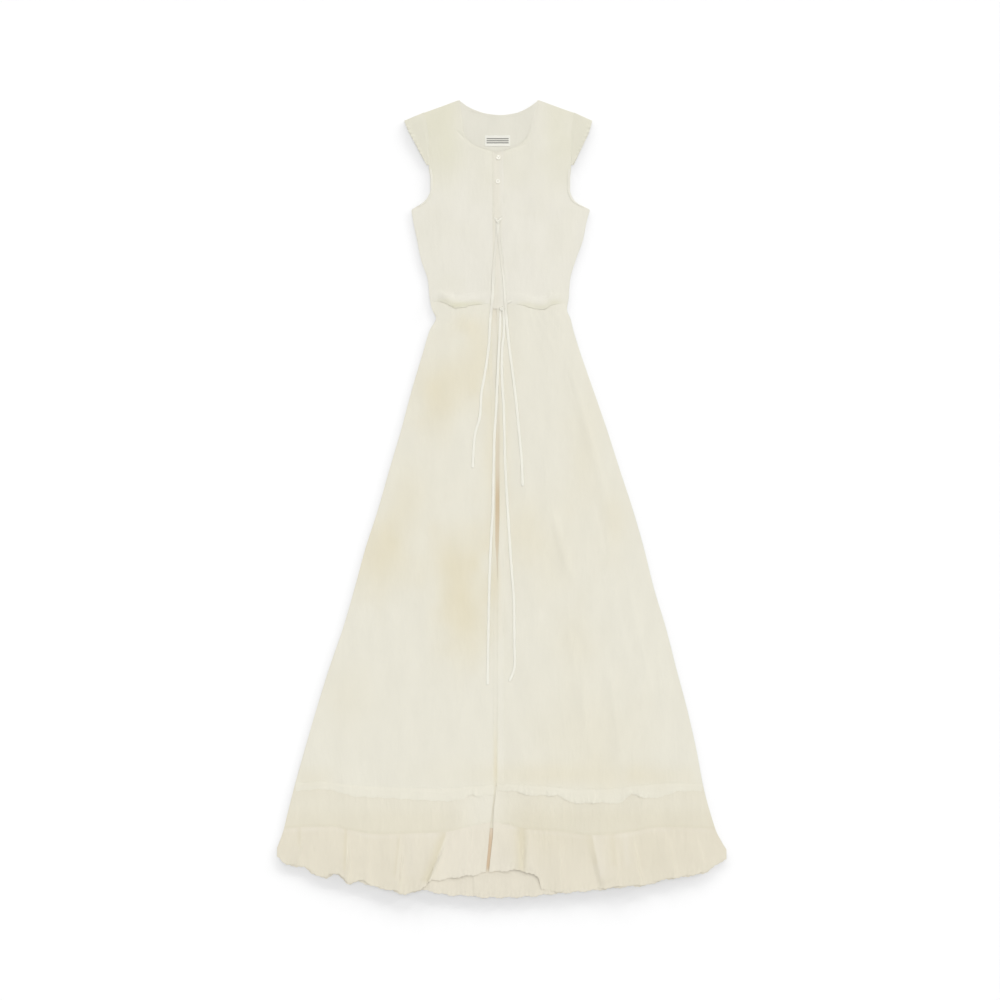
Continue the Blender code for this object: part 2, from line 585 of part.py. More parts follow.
def front_skirt(name, side):
    """Front skirt half, open along the centre front, hidden at the top under the bodice's lip."""

    def place(u, v):
        row = mix(SKIRT_TOP, TIER_ROW, v)
        x = seam_x(side, u, row)
        top = WAIST_LINE(x) - LIP_OVERLAP
        return x, mix(top, shared_seam(TIER_LINE[side], side, u, TIER_ROW) - SEAM_GAP, v)

    rows = SKIRT_TOP_ROWS + [mix(SKIRT_TOP_ROWS[-1], 1.0, t) for t in shared(SKIRT_ROWS)[1:]]
    return cloth(name, place, front_under, shared(SKIRT_COLUMNS), rows)


def front_tier(name, side):
    """Plain tier between the skirt and the ruffle, its top under the frill."""

    def place(u, v):
        x = seam_x(side, u, mix(TIER_ROW, RUFFLE_ROW, v))
        top = shared_seam(TIER_LINE[side], side, u, TIER_ROW)
        return x, mix(top, shared_seam(RUFFLE_LINE[side], side, u, RUFFLE_ROW) - SEAM_GAP, v)

    return cloth(name, place, front_under, shared(SKIRT_COLUMNS), shared(3), IVORY_WARM)


def ruffle_under(side):
    """Height of the lower face of one front ruffle: pleats, and the lifts of its waved hem."""

    def under(x, down):
        seam, hem = RUFFLE_LINE[side](x), HEM_LINE[side](x)
        fall = min(max((down - seam) / (hem - seam), 0.0), 1.0)
        pleats = sum(pleat_height(pleat, x, fall) for pleat in PLEATS if pleat.top_x * side > 0)
        lift = WAVE_LIFT * (0.5 + 0.5 * wave(x, WAVE_SPACING)) * ease((fall - WAVE_START) / (1 - WAVE_START))
        return front_under(x, down) + pleats + lift

    return under


def front_ruffle(name, side):
    """Gathered ruffle of one front, with its pleats and its waved hem."""

    def place(u, v):
        x = seam_x(side, u, mix(RUFFLE_ROW, HEM_ROW, v))
        hem_x = seam_x(side, u, HEM_ROW)
        hem = HEM_LINE[side](hem_x) + WAVE_REACH * wave(hem_x, WAVE_SPACING)
        return x, mix(shared_seam(RUFFLE_LINE[side], side, u, RUFFLE_ROW), hem, v)

    columns = shared(SKIRT_COLUMNS * RUFFLE_PER_TIER)
    return cloth(name, place, ruffle_under(side), columns, shared(RUFFLE_ROWS), IVORY_WARM)


def frill(name, side, pile):
    """Frill that covers the top of the tier, waved along its lower edge."""

    def place(u, v):
        x = seam_x(side, mix(FRILL_INSET, 1 - FRILL_INSET, u), TIER_ROW)
        low = FRILL_LINE[side](x) + FRILL_WAVE_REACH * wave(x, FRILL_WAVE_SPACING)
        return x, mix(TIER_LINE[side](x) - FRILL_OVERLAP, low, v)

    def under(x, down):
        top, low = TIER_LINE[side](x) - FRILL_OVERLAP, FRILL_LINE[side](x)
        fall = ease((down - top) / (low - top))
        lift = FRILL_WAVE_LIFT * (0.5 + 0.5 * wave(x, FRILL_WAVE_SPACING)) * fall
        return pile.top_around(x, down, FRILL_FEEL) + LAY_GAP + lift

    return cloth(name, place, under, shared(FRILL_COLUMNS), shared(2), IVORY_LIGHT)


def edge_band(pile):
    """Turned band along the right front's opening."""

    def place(u, v):
        down = mix(*BAND_ENDS, v)
        return RIGHT_EDGE(down) + mix(*BAND_EDGES, u), down

    def under(x, down):
        return pile.top_around(x, down, BAND_FEEL) + LAY_GAP

    return cloth("front_edge_band", place, under, shared(2), shared(SKIRT_ROWS), IVORY_LIGHT)


def back_panel(name, top, bottom, rows, color):
    """Back piece that lies flat on the floor between two level seams."""

    def place(u, v):
        down = mix(top, bottom, v)
        return mix(body_edge(-1, down) + BACK_INSET, body_edge(1, down) - BACK_INSET, u), down

    return cloth(name, place, floor_level, shared(3), rows, color)


def back_ruffle():
    """Back ruffle, which shows below the front where the fronts part."""

    def place(u, v):
        row = mix(BACK_RUFFLE_SEAM + SEAM_GAP, SIDES[-1].down * MM, v)
        x = mix(body_edge(-1, row) + BACK_INSET, body_edge(1, row) - BACK_INSET, u)
        hem = BACK_HEM_LINE(x) + WAVE_REACH * wave(x + BACK_WAVE_SHIFT, WAVE_SPACING)
        return x, mix(BACK_RUFFLE_SEAM + SEAM_GAP, hem, v)

    return cloth("back_ruffle", place, floor_level, shared(BACK_RUFFLE_COLUMNS), shared(1), IVORY_WARM)


def neck_label():
    """Bare label sewn inside the back neck."""
    left, right, top, bottom = LABEL

    def place(u, v):
        return mix(left, right, u), mix(top, bottom, v)

    def under(x, down):
        return BACK_TOP

    return cloth("neck_label", place, under, shared(4), shared(2), IVORY_LIGHT, LABEL_WALL)


def button(name, centre, pile):
    """Round shirt button with a raised rim, turned about its own axis."""
    shape = bmesh.new()
    line = [shape.verts.new((out * BUTTON_RADIUS, 0.0, up * BUTTON_HEIGHT)) for out, up in BUTTON_PROFILE]
    edges = [shape.edges.new(pair) for pair in zip(line, line[1:])]
    bmesh.ops.spin(shape, geom=line + edges, axis=(0, 0, 1), cent=(0, 0, 0), angle=2 * math.pi, steps=BUTTON_STEPS)
    bmesh.ops.remove_doubles(shape, verts=shape.verts, dist=0.01 * MM)
    bmesh.ops.recalc_face_normals(shape, faces=shape.faces)
    x, down = centre.x * MM, centre.down * MM
    base = pile.top_around(x, down, BUTTON_RADIUS) + SEAM_GAP
    bmesh.ops.translate(shape, verts=shape.verts, vec=to_world(x, down, base))
    mesh = bpy.data.meshes.new(name)
    shape.to_mesh(mesh)
    shape.free()
    return add_object(name, mesh, SHELL_WHITE)


def through(points, spacing):
    """Evenly spaced places on one smooth curve through a route's own points."""
    ends = [points[0]] + list(points) + [points[-1]]
    fine = []
    for before, start, end, after in zip(ends, ends[1:], ends[2:], ends[3:]):
        for step in range(ROUTE_STEPS):
            t = step / ROUTE_STEPS
            weights = (-t + 2 * t * t - t ** 3, 2 - 5 * t * t + 3 * t ** 3, t + 4 * t * t - 3 * t ** 3,
                       -t * t + t ** 3)
            near = (before, start, end, after)
            fine.append((sum(w * p.x for w, p in zip(weights, near)) * MM / 2,
                         sum(w * p.down for w, p in zip(weights, near)) * MM / 2))
    fine.append((points[-1].x * MM, points[-1].down * MM))
    lengths = [0.0]
    for (ax, ay), (bx, by) in zip(fine, fine[1:]):
        lengths.append(lengths[-1] + math.hypot(bx - ax, by - ay))
    count = max(round(lengths[-1] / spacing), 2)
    places, k = [], 0
    for i in range(count + 1):
        want = lengths[-1] * i / count
        while k < len(fine) - 2 and lengths[k + 1] < want:
            k += 1
        t = (want - lengths[k]) / (lengths[k + 1] - lengths[k])
        places.append((mix(fine[k][0], fine[k + 1][0], t), mix(fine[k][1], fine[k + 1][1], t)))
    return places


def tie(name, route, pile, last_height=None):
    """Round cord that follows a route along the top of what it lies on, its last point at a knot's height."""
    radius = TIE_DIAMETER / 2
    length = sum(math.hypot(b.x - a.x, b.down - a.down) for a, b in zip(route, route[1:])) * MM
    spacing = min(3 * TIE_DIAMETER, length / 3)
    fine = through(route, 2 * MM)
    heights = [pile.top_around(x, down, radius) for x, down in fine]
    points = []
    for x, down in through(route, spacing):
        near = [h for h, (fx, fd) in zip(heights, fine) if math.hypot(fx - x, fd - down) < 0.75 * spacing]
        points.append(to_world(x, down, max(near) + LAY_GAP + radius))
    if last_height is not None:
        points[-1].z = last_height
    curve = bpy.data.curves.new(name, "CURVE")
    curve.dimensions = "3D"
    curve.bevel_depth = radius
    curve.bevel_resolution = 2
    curve.use_fill_caps = True
    spline = curve.splines.new("POLY")
    spline.points.add(len(points) - 1)
    for knot, point in zip(spline.points, points):
        knot.co = (*point, 1.0)
    curve.materials.append(material(name, IVORY_LIGHT))
    piece = bpy.data.objects.new(name, curve)
    bpy.context.scene.collection.objects.link(piece)
    return piece


def meeting(knot, start):
    """Place where a cord that comes from start meets a knot face to face."""
    across, along = start.x - knot.x, start.down - knot.down
    length = math.hypot(across, along)
    across, along = across / length, along / length
    reach = math.hypot(across * KNOT_SIZE[0] / 2, along * KNOT_SIZE[1] / 2) / MM + KNOT_GAP / MM
    return Knot(knot.x + across * reach, knot.down + along * reach)


def knot_height(centre, pile):
    """Height of a knot's middle."""
    half_width, half_height = KNOT_SIZE[0] / 2, KNOT_SIZE[2] / 2
    return pile.top_around(centre.x * MM, centre.down * MM, half_width) + LAY_GAP + half_height


def tie_knot(name, centre, pile):
    """Small overhand knot, a flattened ball."""
    shape = bmesh.new()
    bmesh.ops.create_uvsphere(shape, u_segments=12, v_segments=7, radius=1.0)
    half = Vector(KNOT_SIZE) / 2
    x, down = centre.x * MM, centre.down * MM
    base = knot_height(centre, pile)
    for vertex in shape.verts:
        vertex.co = Vector((vertex.co.x * half.x, vertex.co.y * half.y, vertex.co.z * half.z))
        vertex.co += to_world(x, down, base)
    mesh = bpy.data.meshes.new(name)
    shape.to_mesh(mesh)
    shape.free()
    return add_object(name, mesh, IVORY_LIGHT)


def main():
    """Clear the scene and lay the pieces, lowest first."""
    for old in list(bpy.data.objects):
        bpy.data.objects.remove(old, do_unlink=True)
    pile = Pile()
    pile.add(back_bodice())
    back = ((BACK_WAIST + SEAM_GAP, BACK_TIER_SEAM, "back_skirt", IVORY, BACK_SKIRT_ROWS),
            (BACK_TIER_SEAM + SEAM_GAP, BACK_RUFFLE_SEAM, "back_tier", IVORY_WARM, BACK_TIER_ROWS))
    for top, bottom, name, color, rows in back:
        pile.add(back_panel(name, top, bottom, shared(rows), color))
    pile.add(back_ruffle())
    pile.add(neck_label())
    for side, word in ((-1, "left"), (1, "right")):
        pile.add(front_skirt(f"front_skirt_{word}", side))
        pile.add(front_tier(f"front_tier_{word}", side))
        pile.add(front_ruffle(f"front_ruffle_{word}", side))
        pile.add(cap_sleeve(f"cap_sleeve_{word}", side))
    pile.add(edge_band(pile))
    for side, word in ((-1, "left"), (1, "right")):
        pile.add(front_bodice(f"front_bodice_{word}", side))
    pile.add(placket())
    for side, word in ((-1, "left"), (1, "right")):
        pile.add(frill(f"frill_{word}", side, pile))
        pile.add(binding(f"armhole_binding_{word}", side, pile))
    for i, centre in enumerate(BUTTONS):
        button(f"button_{i + 1}", centre, pile)
    tie_knot("bust_knot", BUST_KNOT, pile)
    tie_knot("waist_knot", WAIST_KNOT, pile)
    cords = {}
    for name, (route, knot) in CORDS.items():
        cords[name] = tie(name, route + (meeting(knot, route[-1]),), pile, knot_height(knot, pile))
    for name in ("waist_tie_left", "waist_tie_right"):
        tie(name, TIES[name], pile)
    pile.add(cords["waist_cord_left"])
    pile.add(cords["waist_cord_right"])
    for name in ("bust_tie_left", "bust_tie_right"):
        tie(name, TIES[name], pile)


if __name__ == "__main__":
    main()
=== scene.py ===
"""Dress of crinkled ivory cotton with a drawn waist, a frill and a ruffled hem, laid flat on its back.

Metres, +Z up, +Y towards the neck. Tables are in millimetres: x from the centre line, down from the shoulder point.
"""
from __future__ import annotations

import json
import logging
import math
from dataclasses import dataclass
from enum import Enum
from typing import Callable, NamedTuple, Sequence

import bmesh
import bpy
import numpy as np
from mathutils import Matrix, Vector
from mathutils.bvhtree import BVHTree

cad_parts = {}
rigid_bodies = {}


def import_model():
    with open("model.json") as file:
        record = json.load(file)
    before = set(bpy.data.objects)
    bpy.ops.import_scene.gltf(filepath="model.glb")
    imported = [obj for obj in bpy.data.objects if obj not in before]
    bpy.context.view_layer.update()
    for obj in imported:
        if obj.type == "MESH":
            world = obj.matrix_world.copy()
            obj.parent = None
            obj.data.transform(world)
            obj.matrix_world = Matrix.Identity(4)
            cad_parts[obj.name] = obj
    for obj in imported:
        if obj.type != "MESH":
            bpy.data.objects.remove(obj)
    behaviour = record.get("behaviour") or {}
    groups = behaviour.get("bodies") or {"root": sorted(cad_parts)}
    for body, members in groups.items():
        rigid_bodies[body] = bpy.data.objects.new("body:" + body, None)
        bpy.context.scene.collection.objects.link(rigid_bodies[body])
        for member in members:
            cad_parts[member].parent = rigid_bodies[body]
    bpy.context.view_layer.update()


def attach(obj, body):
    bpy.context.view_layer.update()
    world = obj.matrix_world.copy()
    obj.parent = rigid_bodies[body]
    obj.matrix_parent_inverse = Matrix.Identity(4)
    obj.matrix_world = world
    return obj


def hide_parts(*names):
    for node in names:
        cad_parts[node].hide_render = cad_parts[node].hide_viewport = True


LOG = logging.getLogger("dress")
MM = 0.001
Array = np.ndarray
Field = Callable[[Array, Array], Array]
Rows = Sequence[tuple[float, ...]]
Triple = tuple[float, float, float]

LENGTH = 1550 * MM
CENTRE_X = -0.5 * MM
PHOTO_WIDTH = 1942.4 * MM  # width of the floor that the camera takes in
PHOTO_CENTRE = (-3.4 * MM, -2.0 * MM)
CLOTH = 0.8 * MM  # thickness of one layer
GAP = 0.3 * MM  # between two sewn pieces
FRONT_BASE = 1.5 * MM  # middle of the front layer at the side seams
BACK_BASE = 0.55 * MM  # middle of the back layer
BULGE = 2.0 * MM  # how much higher the front is along its middle
DEEPEST = -1.3 * MM  # lowest relief of the front
GATHER_START = 8 * MM  # below the waist's line
GATHER_SIZES = (15 * MM, 110 * MM, 150 * MM)  # spacing, reach and spread
GATHER_HEIGHTS = (0.5 * MM, 0.25 * MM)  # of the left and the right half
OPENING_REACH = 38 * MM  # how far from the opening the front lies close to the back
PLACKET = (-18.5 * MM, 2.0 * MM)
PLACKET_END = 405 * MM
BAND = (0.5 * MM, 13.0 * MM)
LIP_OVERLAP = 11 * MM
LIP_FLUSH = 0.30 * MM  # rise of the bodice over the skirt where the waist lies smooth
LIP_CLEAR = 1.7 * MM  # rise where the lip stands out
POUCH = 2.2 * MM  # height of the blouse above its lip
FRILL_OVERLAP = 6 * MM
TIE_WIDTH = 5.0 * MM
TIE_THICKNESS = 0.8 * MM
SHOULDER_DROP = 25 * MM
SHOULDER_FADE = 214 * MM
SHOULDER_SHADE = (0.56, 0.36)  # yellowing of the left and right shoulder
BODICE_FREE = 330 * MM  # depth from which the bodice's rows close up towards the waist
WAIST_TOP = 384 * MM
WAIST_MEAN = 394 * MM
BLOUSE_TOP = 300 * MM  # depth from which the bodice's rows bend towards the waist's line
TIER_ROW = 1335 * MM
RUFFLE_ROW = 1412 * MM
HEM_ROW = 1500 * MM
SIDES_MEET = -20 * MM  # where the halves of the tier and the ruffle meet
BACK_WAIST = 388 * MM
BACK_TIER_SEAM = 1334 * MM
BACK_RUFFLE_SEAM = 1414 * MM
HEM_WAVE, HEM_RIPPLE = 33 * MM, 9.5 * MM  # lengths of the hem's two waves
INSIDE_REACH = 22 * MM  # how far from the opening the back's inside gets painted shadow
TIER_LIGHT = (-36 * MM, 46 * MM)  # middle and reach of the tier's lightest cloth
RUFFLE_LIGHT = (-40, 60, 80)  # middle of the ruffle's lightest cloth, its reach, and how far it fades, in millimetres
SEAM_SHADE = (2 * MM, 2.5 * MM, 0.3)  # painted shade along the tier's lower seam: height over it, width and depth
SEAM_LIGHT = (-5 * MM, 3.5 * MM, 0.18, 0.14)  # painted highlight along the ruffle's seam, and how uneven it is
TIER_DARK, RUFFLE_DARK = 0.28, 0.31  # how much darker the tier's lower part and the ruffle's sides are
LABEL = (-33 * MM, 16 * MM, 68 * MM, 90 * MM)  # left, right, top and bottom


class Side(NamedTuple):
    """Distances of the left and right edges from the centre line at one depth."""

    down: float
    left: float
    right: float


class Knot(NamedTuple):
    """One point of a seam or edge."""

    x: float
    down: float


class Crease(NamedTuple):
    """Soft ridge or trough along a route, with its widths on both sides and its height."""

    route: Rows
    before: float
    after: float
    height: float


class FoldShade(NamedTuple):
    """Band of painted shade beside a ruffle fold, fading by its own width on each side. A negative depth is a painted
    highlight.
    """

    top_x: float
    low_x: float
    top: float
    low: float
    before: float
    after: float
    depth: float


class Pleat(NamedTuple):
    """Ruffle pleat from the seam to the hem. A negative steep width puts the steep side on the left."""

    top_x: float
    low_x: float
    soft: float
    steep: float
    height: float
    lean: float


class StainOrShade(NamedTuple):
    """Soft tea-coloured patch; some patches are painted shade of folds and of the slit."""

    x: float
    down: float
    wide: float
    tall: float
    depth: float


def table(kind: type, *rows: Sequence[float]) -> tuple:
    """Rows of one kind."""
    return tuple(kind(*row) for row in rows)


BUST_KNOT = Knot(-7.6, 236.5)
WAIST_KNOT = Knot(-0.3, 406.5)
# Side seams, armholes and the free edges of the caps
SIDES = table(
    Side,
    (213, 176, 171), (233, 173, 165), (272, 165, 157), (311, 157, 143), (350, 144, 132), (388, 140, 129),
    (408, 136, 126), (427, 128, 133), (447, 140, 138), (486, 152, 150), (563, 175, 177), (641, 196, 204),
    (719, 219, 229), (796, 241, 254), (874, 266, 276), (952, 287, 295), (1029, 309, 318), (1107, 335, 338),
    (1185, 359, 359), (1263, 382, 377), (1340, 404, 392), (1418, 425, 416), (1472, 437, 436),
)
ARMHOLES = table(
    Side,
    (25, 152, 140), (54, 145, 136), (93, 142, 134), (130, 142, 134), (155, 139, 132), (175, 139, 132), (186, 143, 135),
    (198, 152, 143), (213, 176, 171),
)
CAP_EDGES = table(Side, (41, 190, 175), (62, 181, 169), (84, 169, 159), (109, 156, 147), (126, 146, 139))
BACK_NECK = table(Knot, (-84, 0), (-66, 13), (-51, 20), (-31, 26), (-4, 29), (23, 26), (43, 19), (58, 10), (71, 0))
FRONT_NECK = table(
    Side,
    (0, 82, 69), (31, 78, 61), (58, 75, 54), (74, 69, 47), (84, 59, 38), (91, 46, 27), (96, 31, 12), (99.5, 19, 2.6),
)
# Lower edge of the blouse; then how far its lip stands out and how far it bulges above the lip, as shares
WAIST = (
    (-140, 394), (-126, 391), (-112, 393.5), (-101, 398.5), (-90, 403), (-72, 401.5), (-61, 398), (-43, 396.5),
    (-19, 395), (3, 395), (27, 396), (45, 399.5), (54, 402.5), (74, 405.5), (84, 405), (94, 399), (108, 395.5),
    (130, 393),
)
LIP_SHARE = (
    (-140, 0), (-127, 0), (-114, 0.45), (-88, 1.0), (-60, 0.7), (-36, 0.35), (-24, 0), (22, 0), (34, 0.3), (54, 0.6),
    (80, 0.9), (94, 0.55), (111, 0.1), (118, 0), (130, 0),
)
POUCH_SHARE = (
    (-140, 0), (-126, 0.5), (-110, 1.1), (-92, 0.9), (-74, 0.4), (-50, 0.2), (-24, 0), (22, 0), (48, 0.3), (80, 0.6),
    (98, 0.45), (118, 0), (130, 0),
)
# Depth, and the placket's rise over the left front
PLACKET_STEP = ((99, 0.3), (200, 0.35), (240, 0.3), (262, 0.12), (322, 0.12), (342, 0.4), (398, 0.45))
OPENING = table(
    Side,
    (384, -17.5, -10), (412, -17.5, -10), (447, -20, -9.4), (524, -19, -8), (590, -13.5, -5.5), (660, -12, -5),
    (800, -12.8, -5), (850, -13, -6), (900, -11.4, -7.6), (991, -10, -8.6), (1165, -10, -8.8), (1321, -12, -10.2),
    (1340, -14.4, -11.6), (1404, -21.4, -16.8), (1428, -24.2, -17.2), (1457, -26.9, -20.4), (1486, -29.9, -23.8),
    (1500, -31, -25),
)
TIER_SEAM_LEFT = ((-404, 1331), (-350, 1328), (-276, 1335), (-198, 1338), (-120, 1340), (-62, 1337), (-10, 1333))
TIER_SEAM_RIGHT = ((-12, 1333), (54, 1334), (118, 1340), (175, 1342), (243, 1338), (319, 1330), (393, 1333))
FRILL_LOW_LEFT = (
    (-406, 1343), (-350, 1339), (-315, 1345), (-286, 1353), (-221, 1356), (-155, 1360), (-109, 1362), (-78, 1358),
    (-60, 1350), (-43, 1353), (-10, 1347),
)
FRILL_LOW_RIGHT = (
    (-12, 1342), (29, 1343), (51, 1351), (105, 1351), (142, 1366), (198, 1365), (225, 1367), (253, 1349), (282, 1356),
    (307, 1354), (344, 1343), (394, 1342),
)
# How far the frill's lower edge is lifted, as a share
FRILL_LIFT = (
    (-406, 0.0), (-286, 0.05), (-190, 0.05), (-166, 0.1), (-153, 0.5), (-140, 0.1), (-78, 0.1), (-62, 0.6), (-50, 0.6),
    (-36, 0.2), (-10, 0.2), (29, 0.4), (44, 1.1), (62, 0.25), (82, 0.4), (93, 0.9), (110, 0.25), (133, 1.0),
    (150, 0.3), (178, 1.0), (202, 0.2), (228, 0.2), (250, 0.9), (268, 0.8), (290, 0.2), (344, 0.1), (394, 0.0),
)
RUFFLE_SEAM_LEFT = (
    (-427, 1416), (-385, 1412), (-332, 1411), (-295, 1418), (-239, 1426), (-171, 1424), (-113, 1422), (-62, 1411),
    (-20, 1402),
)
RUFFLE_SEAM_RIGHT = (
    (-20, 1402), (16, 1408), (51, 1416), (107, 1420), (169, 1428), (212, 1426), (251, 1421), (307, 1412), (377, 1414),
    (418, 1416),
)
HEM_LEFT = (
    (-437, 1470), (-418, 1484), (-385, 1489), (-369, 1500), (-343, 1510), (-331, 1502), (-320, 1502), (-310, 1511),
    (-297, 1521), (-284, 1518), (-272, 1516), (-255, 1524), (-229, 1532), (-209, 1535), (-190, 1542), (-170, 1537),
    (-156, 1529), (-146, 1522), (-135, 1516), (-115, 1514), (-78, 1508), (-52, 1505), (-28, 1499),
)
HEM_RIGHT = (
    (-26, 1499), (11, 1497), (34, 1495), (49, 1501), (70, 1508), (77, 1532), (113, 1537), (152, 1535), (194, 1531),
    (241, 1526), (276, 1524), (311, 1514), (346, 1509), (392, 1500), (416, 1485), (436, 1474),
)
BACK_HEM = (
    (-434, 1470), (-418, 1486), (-385, 1491), (-369, 1502), (-343, 1512), (-326, 1504), (-310, 1513), (-297, 1523),
    (-278, 1519), (-255, 1526), (-209, 1537), (-190, 1543), (-157, 1535), (-137, 1537), (-124, 1541), (-92, 1545),
    (-66, 1545), (-40, 1549), (6, 1549), (54, 1547), (89, 1543), (124, 1540), (200, 1533), (245, 1528), (278, 1526),
    (311, 1516), (348, 1510), (392, 1502), (416, 1487), (434, 1474),
)
PLEATS = table(
    Pleat,
    (-385, -404, 22, 9, 4.4, 0.4), (-300, -306, 34, 10, 5.6, 0.5), (-262, -262, 18, 14, 3.2, 0.2),
    (-196, -206, 30, 10, 5.2, 0.4), (-108, -152, 36, 15, 7.4, 0.5), (-62, -74, 18, 14, 2.6, 0.2),
    (30, 30, 24, 12, 3.8, 0.25), (54, 48, 24, -12, 3.8, 0.25), (110, 112, 20, 14, 3.0, 0.3),
    (176, 200, 26, -15, 5.0, 0.1), (216, 222, 16, 12, 3.4, 0.2), (250, 266, 26, 10, 5.2, 0.4),
    (318, 334, 22, 12, 3.6, 0.3), (372, 392, 20, 10, 3.8, 0.4),
)
# Painted shade beside the ruffle's folds, and painted highlights where the depth is negative
RUFFLE_FOLD_SHADE = table(
    FoldShade,
    (-392, -392, 1417, 1441, 5, 1.5, 0.35), (-302, -304, 1420, 1490, 5, 1.2, 0.5),
    (-199, -207, 1435, 1500, 4, 1.2, 0.35), (-176, -180, 1430, 1500, 14, 14, -0.15),
    (-111, -142, 1428, 1512, 13, 2.2, 0.85), (39, 38, 1410, 1494, 13, 9, 0.75), (173, 184, 1430, 1478, 12, 1.2, 0.3),
    (177, 190, 1430, 1500, 1, 14, -0.3), (215, 219, 1424, 1480, 8, 4, 0.25), (238, 243, 1430, 1480, 5, 8, -0.25),
)
# Creases of the skirt and bodice
CREASES = table(
    Crease,
    (((126, 500), (180, 690), (219, 850)), 13, 8, 2.6), (((92, 780), (142, 960)), 12, 10, 2.0),
    (((120, 960), (172, 1290)), 15, 10, 1.6), (((236, 900), (296, 1180)), 14, 9, 1.6),
    (((42, 620), (70, 1100)), 16, 12, 1.2), (((200, 1060), (236, 1320)), 12, 8, 1.5),
    (((-70, 450), (-150, 800)), 18, 18, 0.8), (((-150, 700), (-262, 1120)), 20, 20, 0.7),
    (((-60, 900), (-92, 1300)), 18, 14, 0.7), (((-90, 57), (-82, 66), (-71, 77)), 3, 3, -1.3),
    (((-120, 377), (-108, 376), (-90, 380)), 4, 6, 1.0), (((130, 1010), (150, 1060), (152, 1090)), 9, 12, -0.9),
    (((118, 970), (146, 1040), (170, 1280)), 5, 5, 0.7), (((-20.6, 310), (-21, 345), (-22, 388)), 1.6, 1.2, -0.9),
    (((125, 520), (134, 555), (144, 590)), 4, 4, -0.7), (((179, 757), (194, 835), (208, 905)), 5, 5, -0.7),
    (((86, 789), (104, 860), (120, 928)), 5, 5, -0.5),
)
# Tea stains; the narrow patches at x -13 and -12.6, along the opening, are painted shade of the slit where the fronts
# lap closed
STAINS_AND_SHADE = table(
    StainOrShade,
    (-101, 548, 60, 60, 0.5), (-241, 886, 60, 65, 0.6), (-90, 900, 48, 70, 0.62), (-72, 1005, 48, 76, 0.72),
    (-307, 1158, 50, 60, 0.15), (-44, 490, 34, 60, 0.4), (140, 1050, 40, 60, 0.2), (90, 880, 60, 90, 0.22),
    (-160, 760, 60, 80, 0.12), (62, 1420, 64, 50, 0.3), (-70, 440, 30, 20, 0.3), (-12, 680, 26, 170, 0.42),
    (170, 1240, 110, 100, 0.22), (160, 690, 34, 130, 0.22), (90, 1312, 190, 26, 0.32), (230, 1385, 170, 30, 0.15),
    (280, 1460, 90, 45, 0.15), (-13, 930, 10, 48, 0.45), (-12.6, 1285, 4, 52, 0.6), (-190, 790, 34, 80, 0.3),
    (-132, 600, 36, 66, 0.32), (45, 830, 30, 50, 0.28), (218, 820, 28, 60, 0.28), (-370, 1320, 40, 24, 0.25),
    (300, 1316, 80, 24, 0.25), (-222, 832, 26, 34, 0.28), (-27, 845, 18, 50, 0.26),
)
# Yellowed folds of the blouse above its lip, with painted shade of the folds along the lip, and a yellow tint below
# the neck
LIP_TINT_AND_SHADE = table(
    StainOrShade,
    (-112, 391, 16, 6, 0.5), (-92, 400, 16, 7, 0.75), (-70, 398, 18, 6, 0.7), (-48, 395, 14, 5, 0.6),
    (45, 398, 20, 5, 0.5), (76, 403, 22, 5, 0.6), (102, 394, 16, 6, 0.5), (10, 125, 70, 70, 0.2),
)
# Routes of the ties
BUST_LEFT = (
    (-15.5, 228), (-12.5, 231), (-9, 236), (-9.6, 243), (-9.8, 258), (-12.6, 286), (-16, 315), (-17, 350), (-19, 388),
    (-23, 427), (-26, 480), (-34, 536), (-40, 569), (-43, 614), (-53, 653), (-57, 715),
)
BUST_RIGHT = (
    (1, 228), (-2.5, 231), (-7, 236), (-7.4, 243), (-7.2, 258), (-3.2, 290), (0, 320), (3.4, 350), (6, 388), (9, 427),
    (13.6, 476), (24, 556), (32, 633), (38, 699), (40, 750),
)
WAIST_LEFT = (
    (-5, 403), (-2, 406), (-3.2, 413), (-3.8, 440), (-6, 482), (-9.4, 554), (-11.5, 602), (-15, 660), (-17, 738),
    (-18, 796), (-23, 890), (-26, 1004), (-28, 1136),
)
WAIST_RIGHT = (
    (18.5, 391.6), (13.5, 392), (8, 396), (2, 405), (2.9, 413), (4.2, 440), (0.6, 482), (-0.4, 520), (1, 560),
    (4, 612), (6, 699), (9, 761), (17, 890), (23, 971), (24, 1049), (24, 1101), (14, 1129),
)
# Depth, and how far the ties are as dull there as the cloth under them
TIE_DULLNESS = (
    (226, 0.5), (236, 0.3), (250, 0.4), (266, 1.0), (322, 1.0), (346, 0.35), (385, 0.3), (398, 0.7), (412, 0.5),
    (426, 0.0),
)
# Depth, and percent of brown painted shadow on the back's inside, where it shows through the opening
INSIDE_SHADE = (
    (384, 8), (414, 20), (432, 16), (447, 8), (560, 10), (583, 12), (660, 42), (719, 54), (777, 100), (816, 90),
    (864, 72), (893, 52), (930, 42), (971, 34), (1100, 14), (1330, 26), (1345, 40), (1400, 40), (1416, 45), (1440, 85),
    (1488, 95), (1500, 0),
)
# Middles of the buttons
BUTTONS = table(Knot, (-7, 112), (-8, 158))


class Slot(str, Enum):
    """Material slots of the part."""

    CLOTH = "cloth"
    RUFFLE = "ruffle_cloth"
    EDGING = "edging"
    TIES = "ties"
    LABEL = "label"
    BUTTONS = "buttons"


def ease(t: Array | float) -> Array:
    """Smooth step from 0 to 1."""
    t = np.clip(t, 0.0, 1.0)
    return t * t * (3 - 2 * t)


def rise(value: Array, start: float, reach: float) -> Array:
    """Smooth step from 0 to 1 that starts at a place and has its own reach, both in millimetres."""
    return ease((value - start * MM) / (reach * MM))


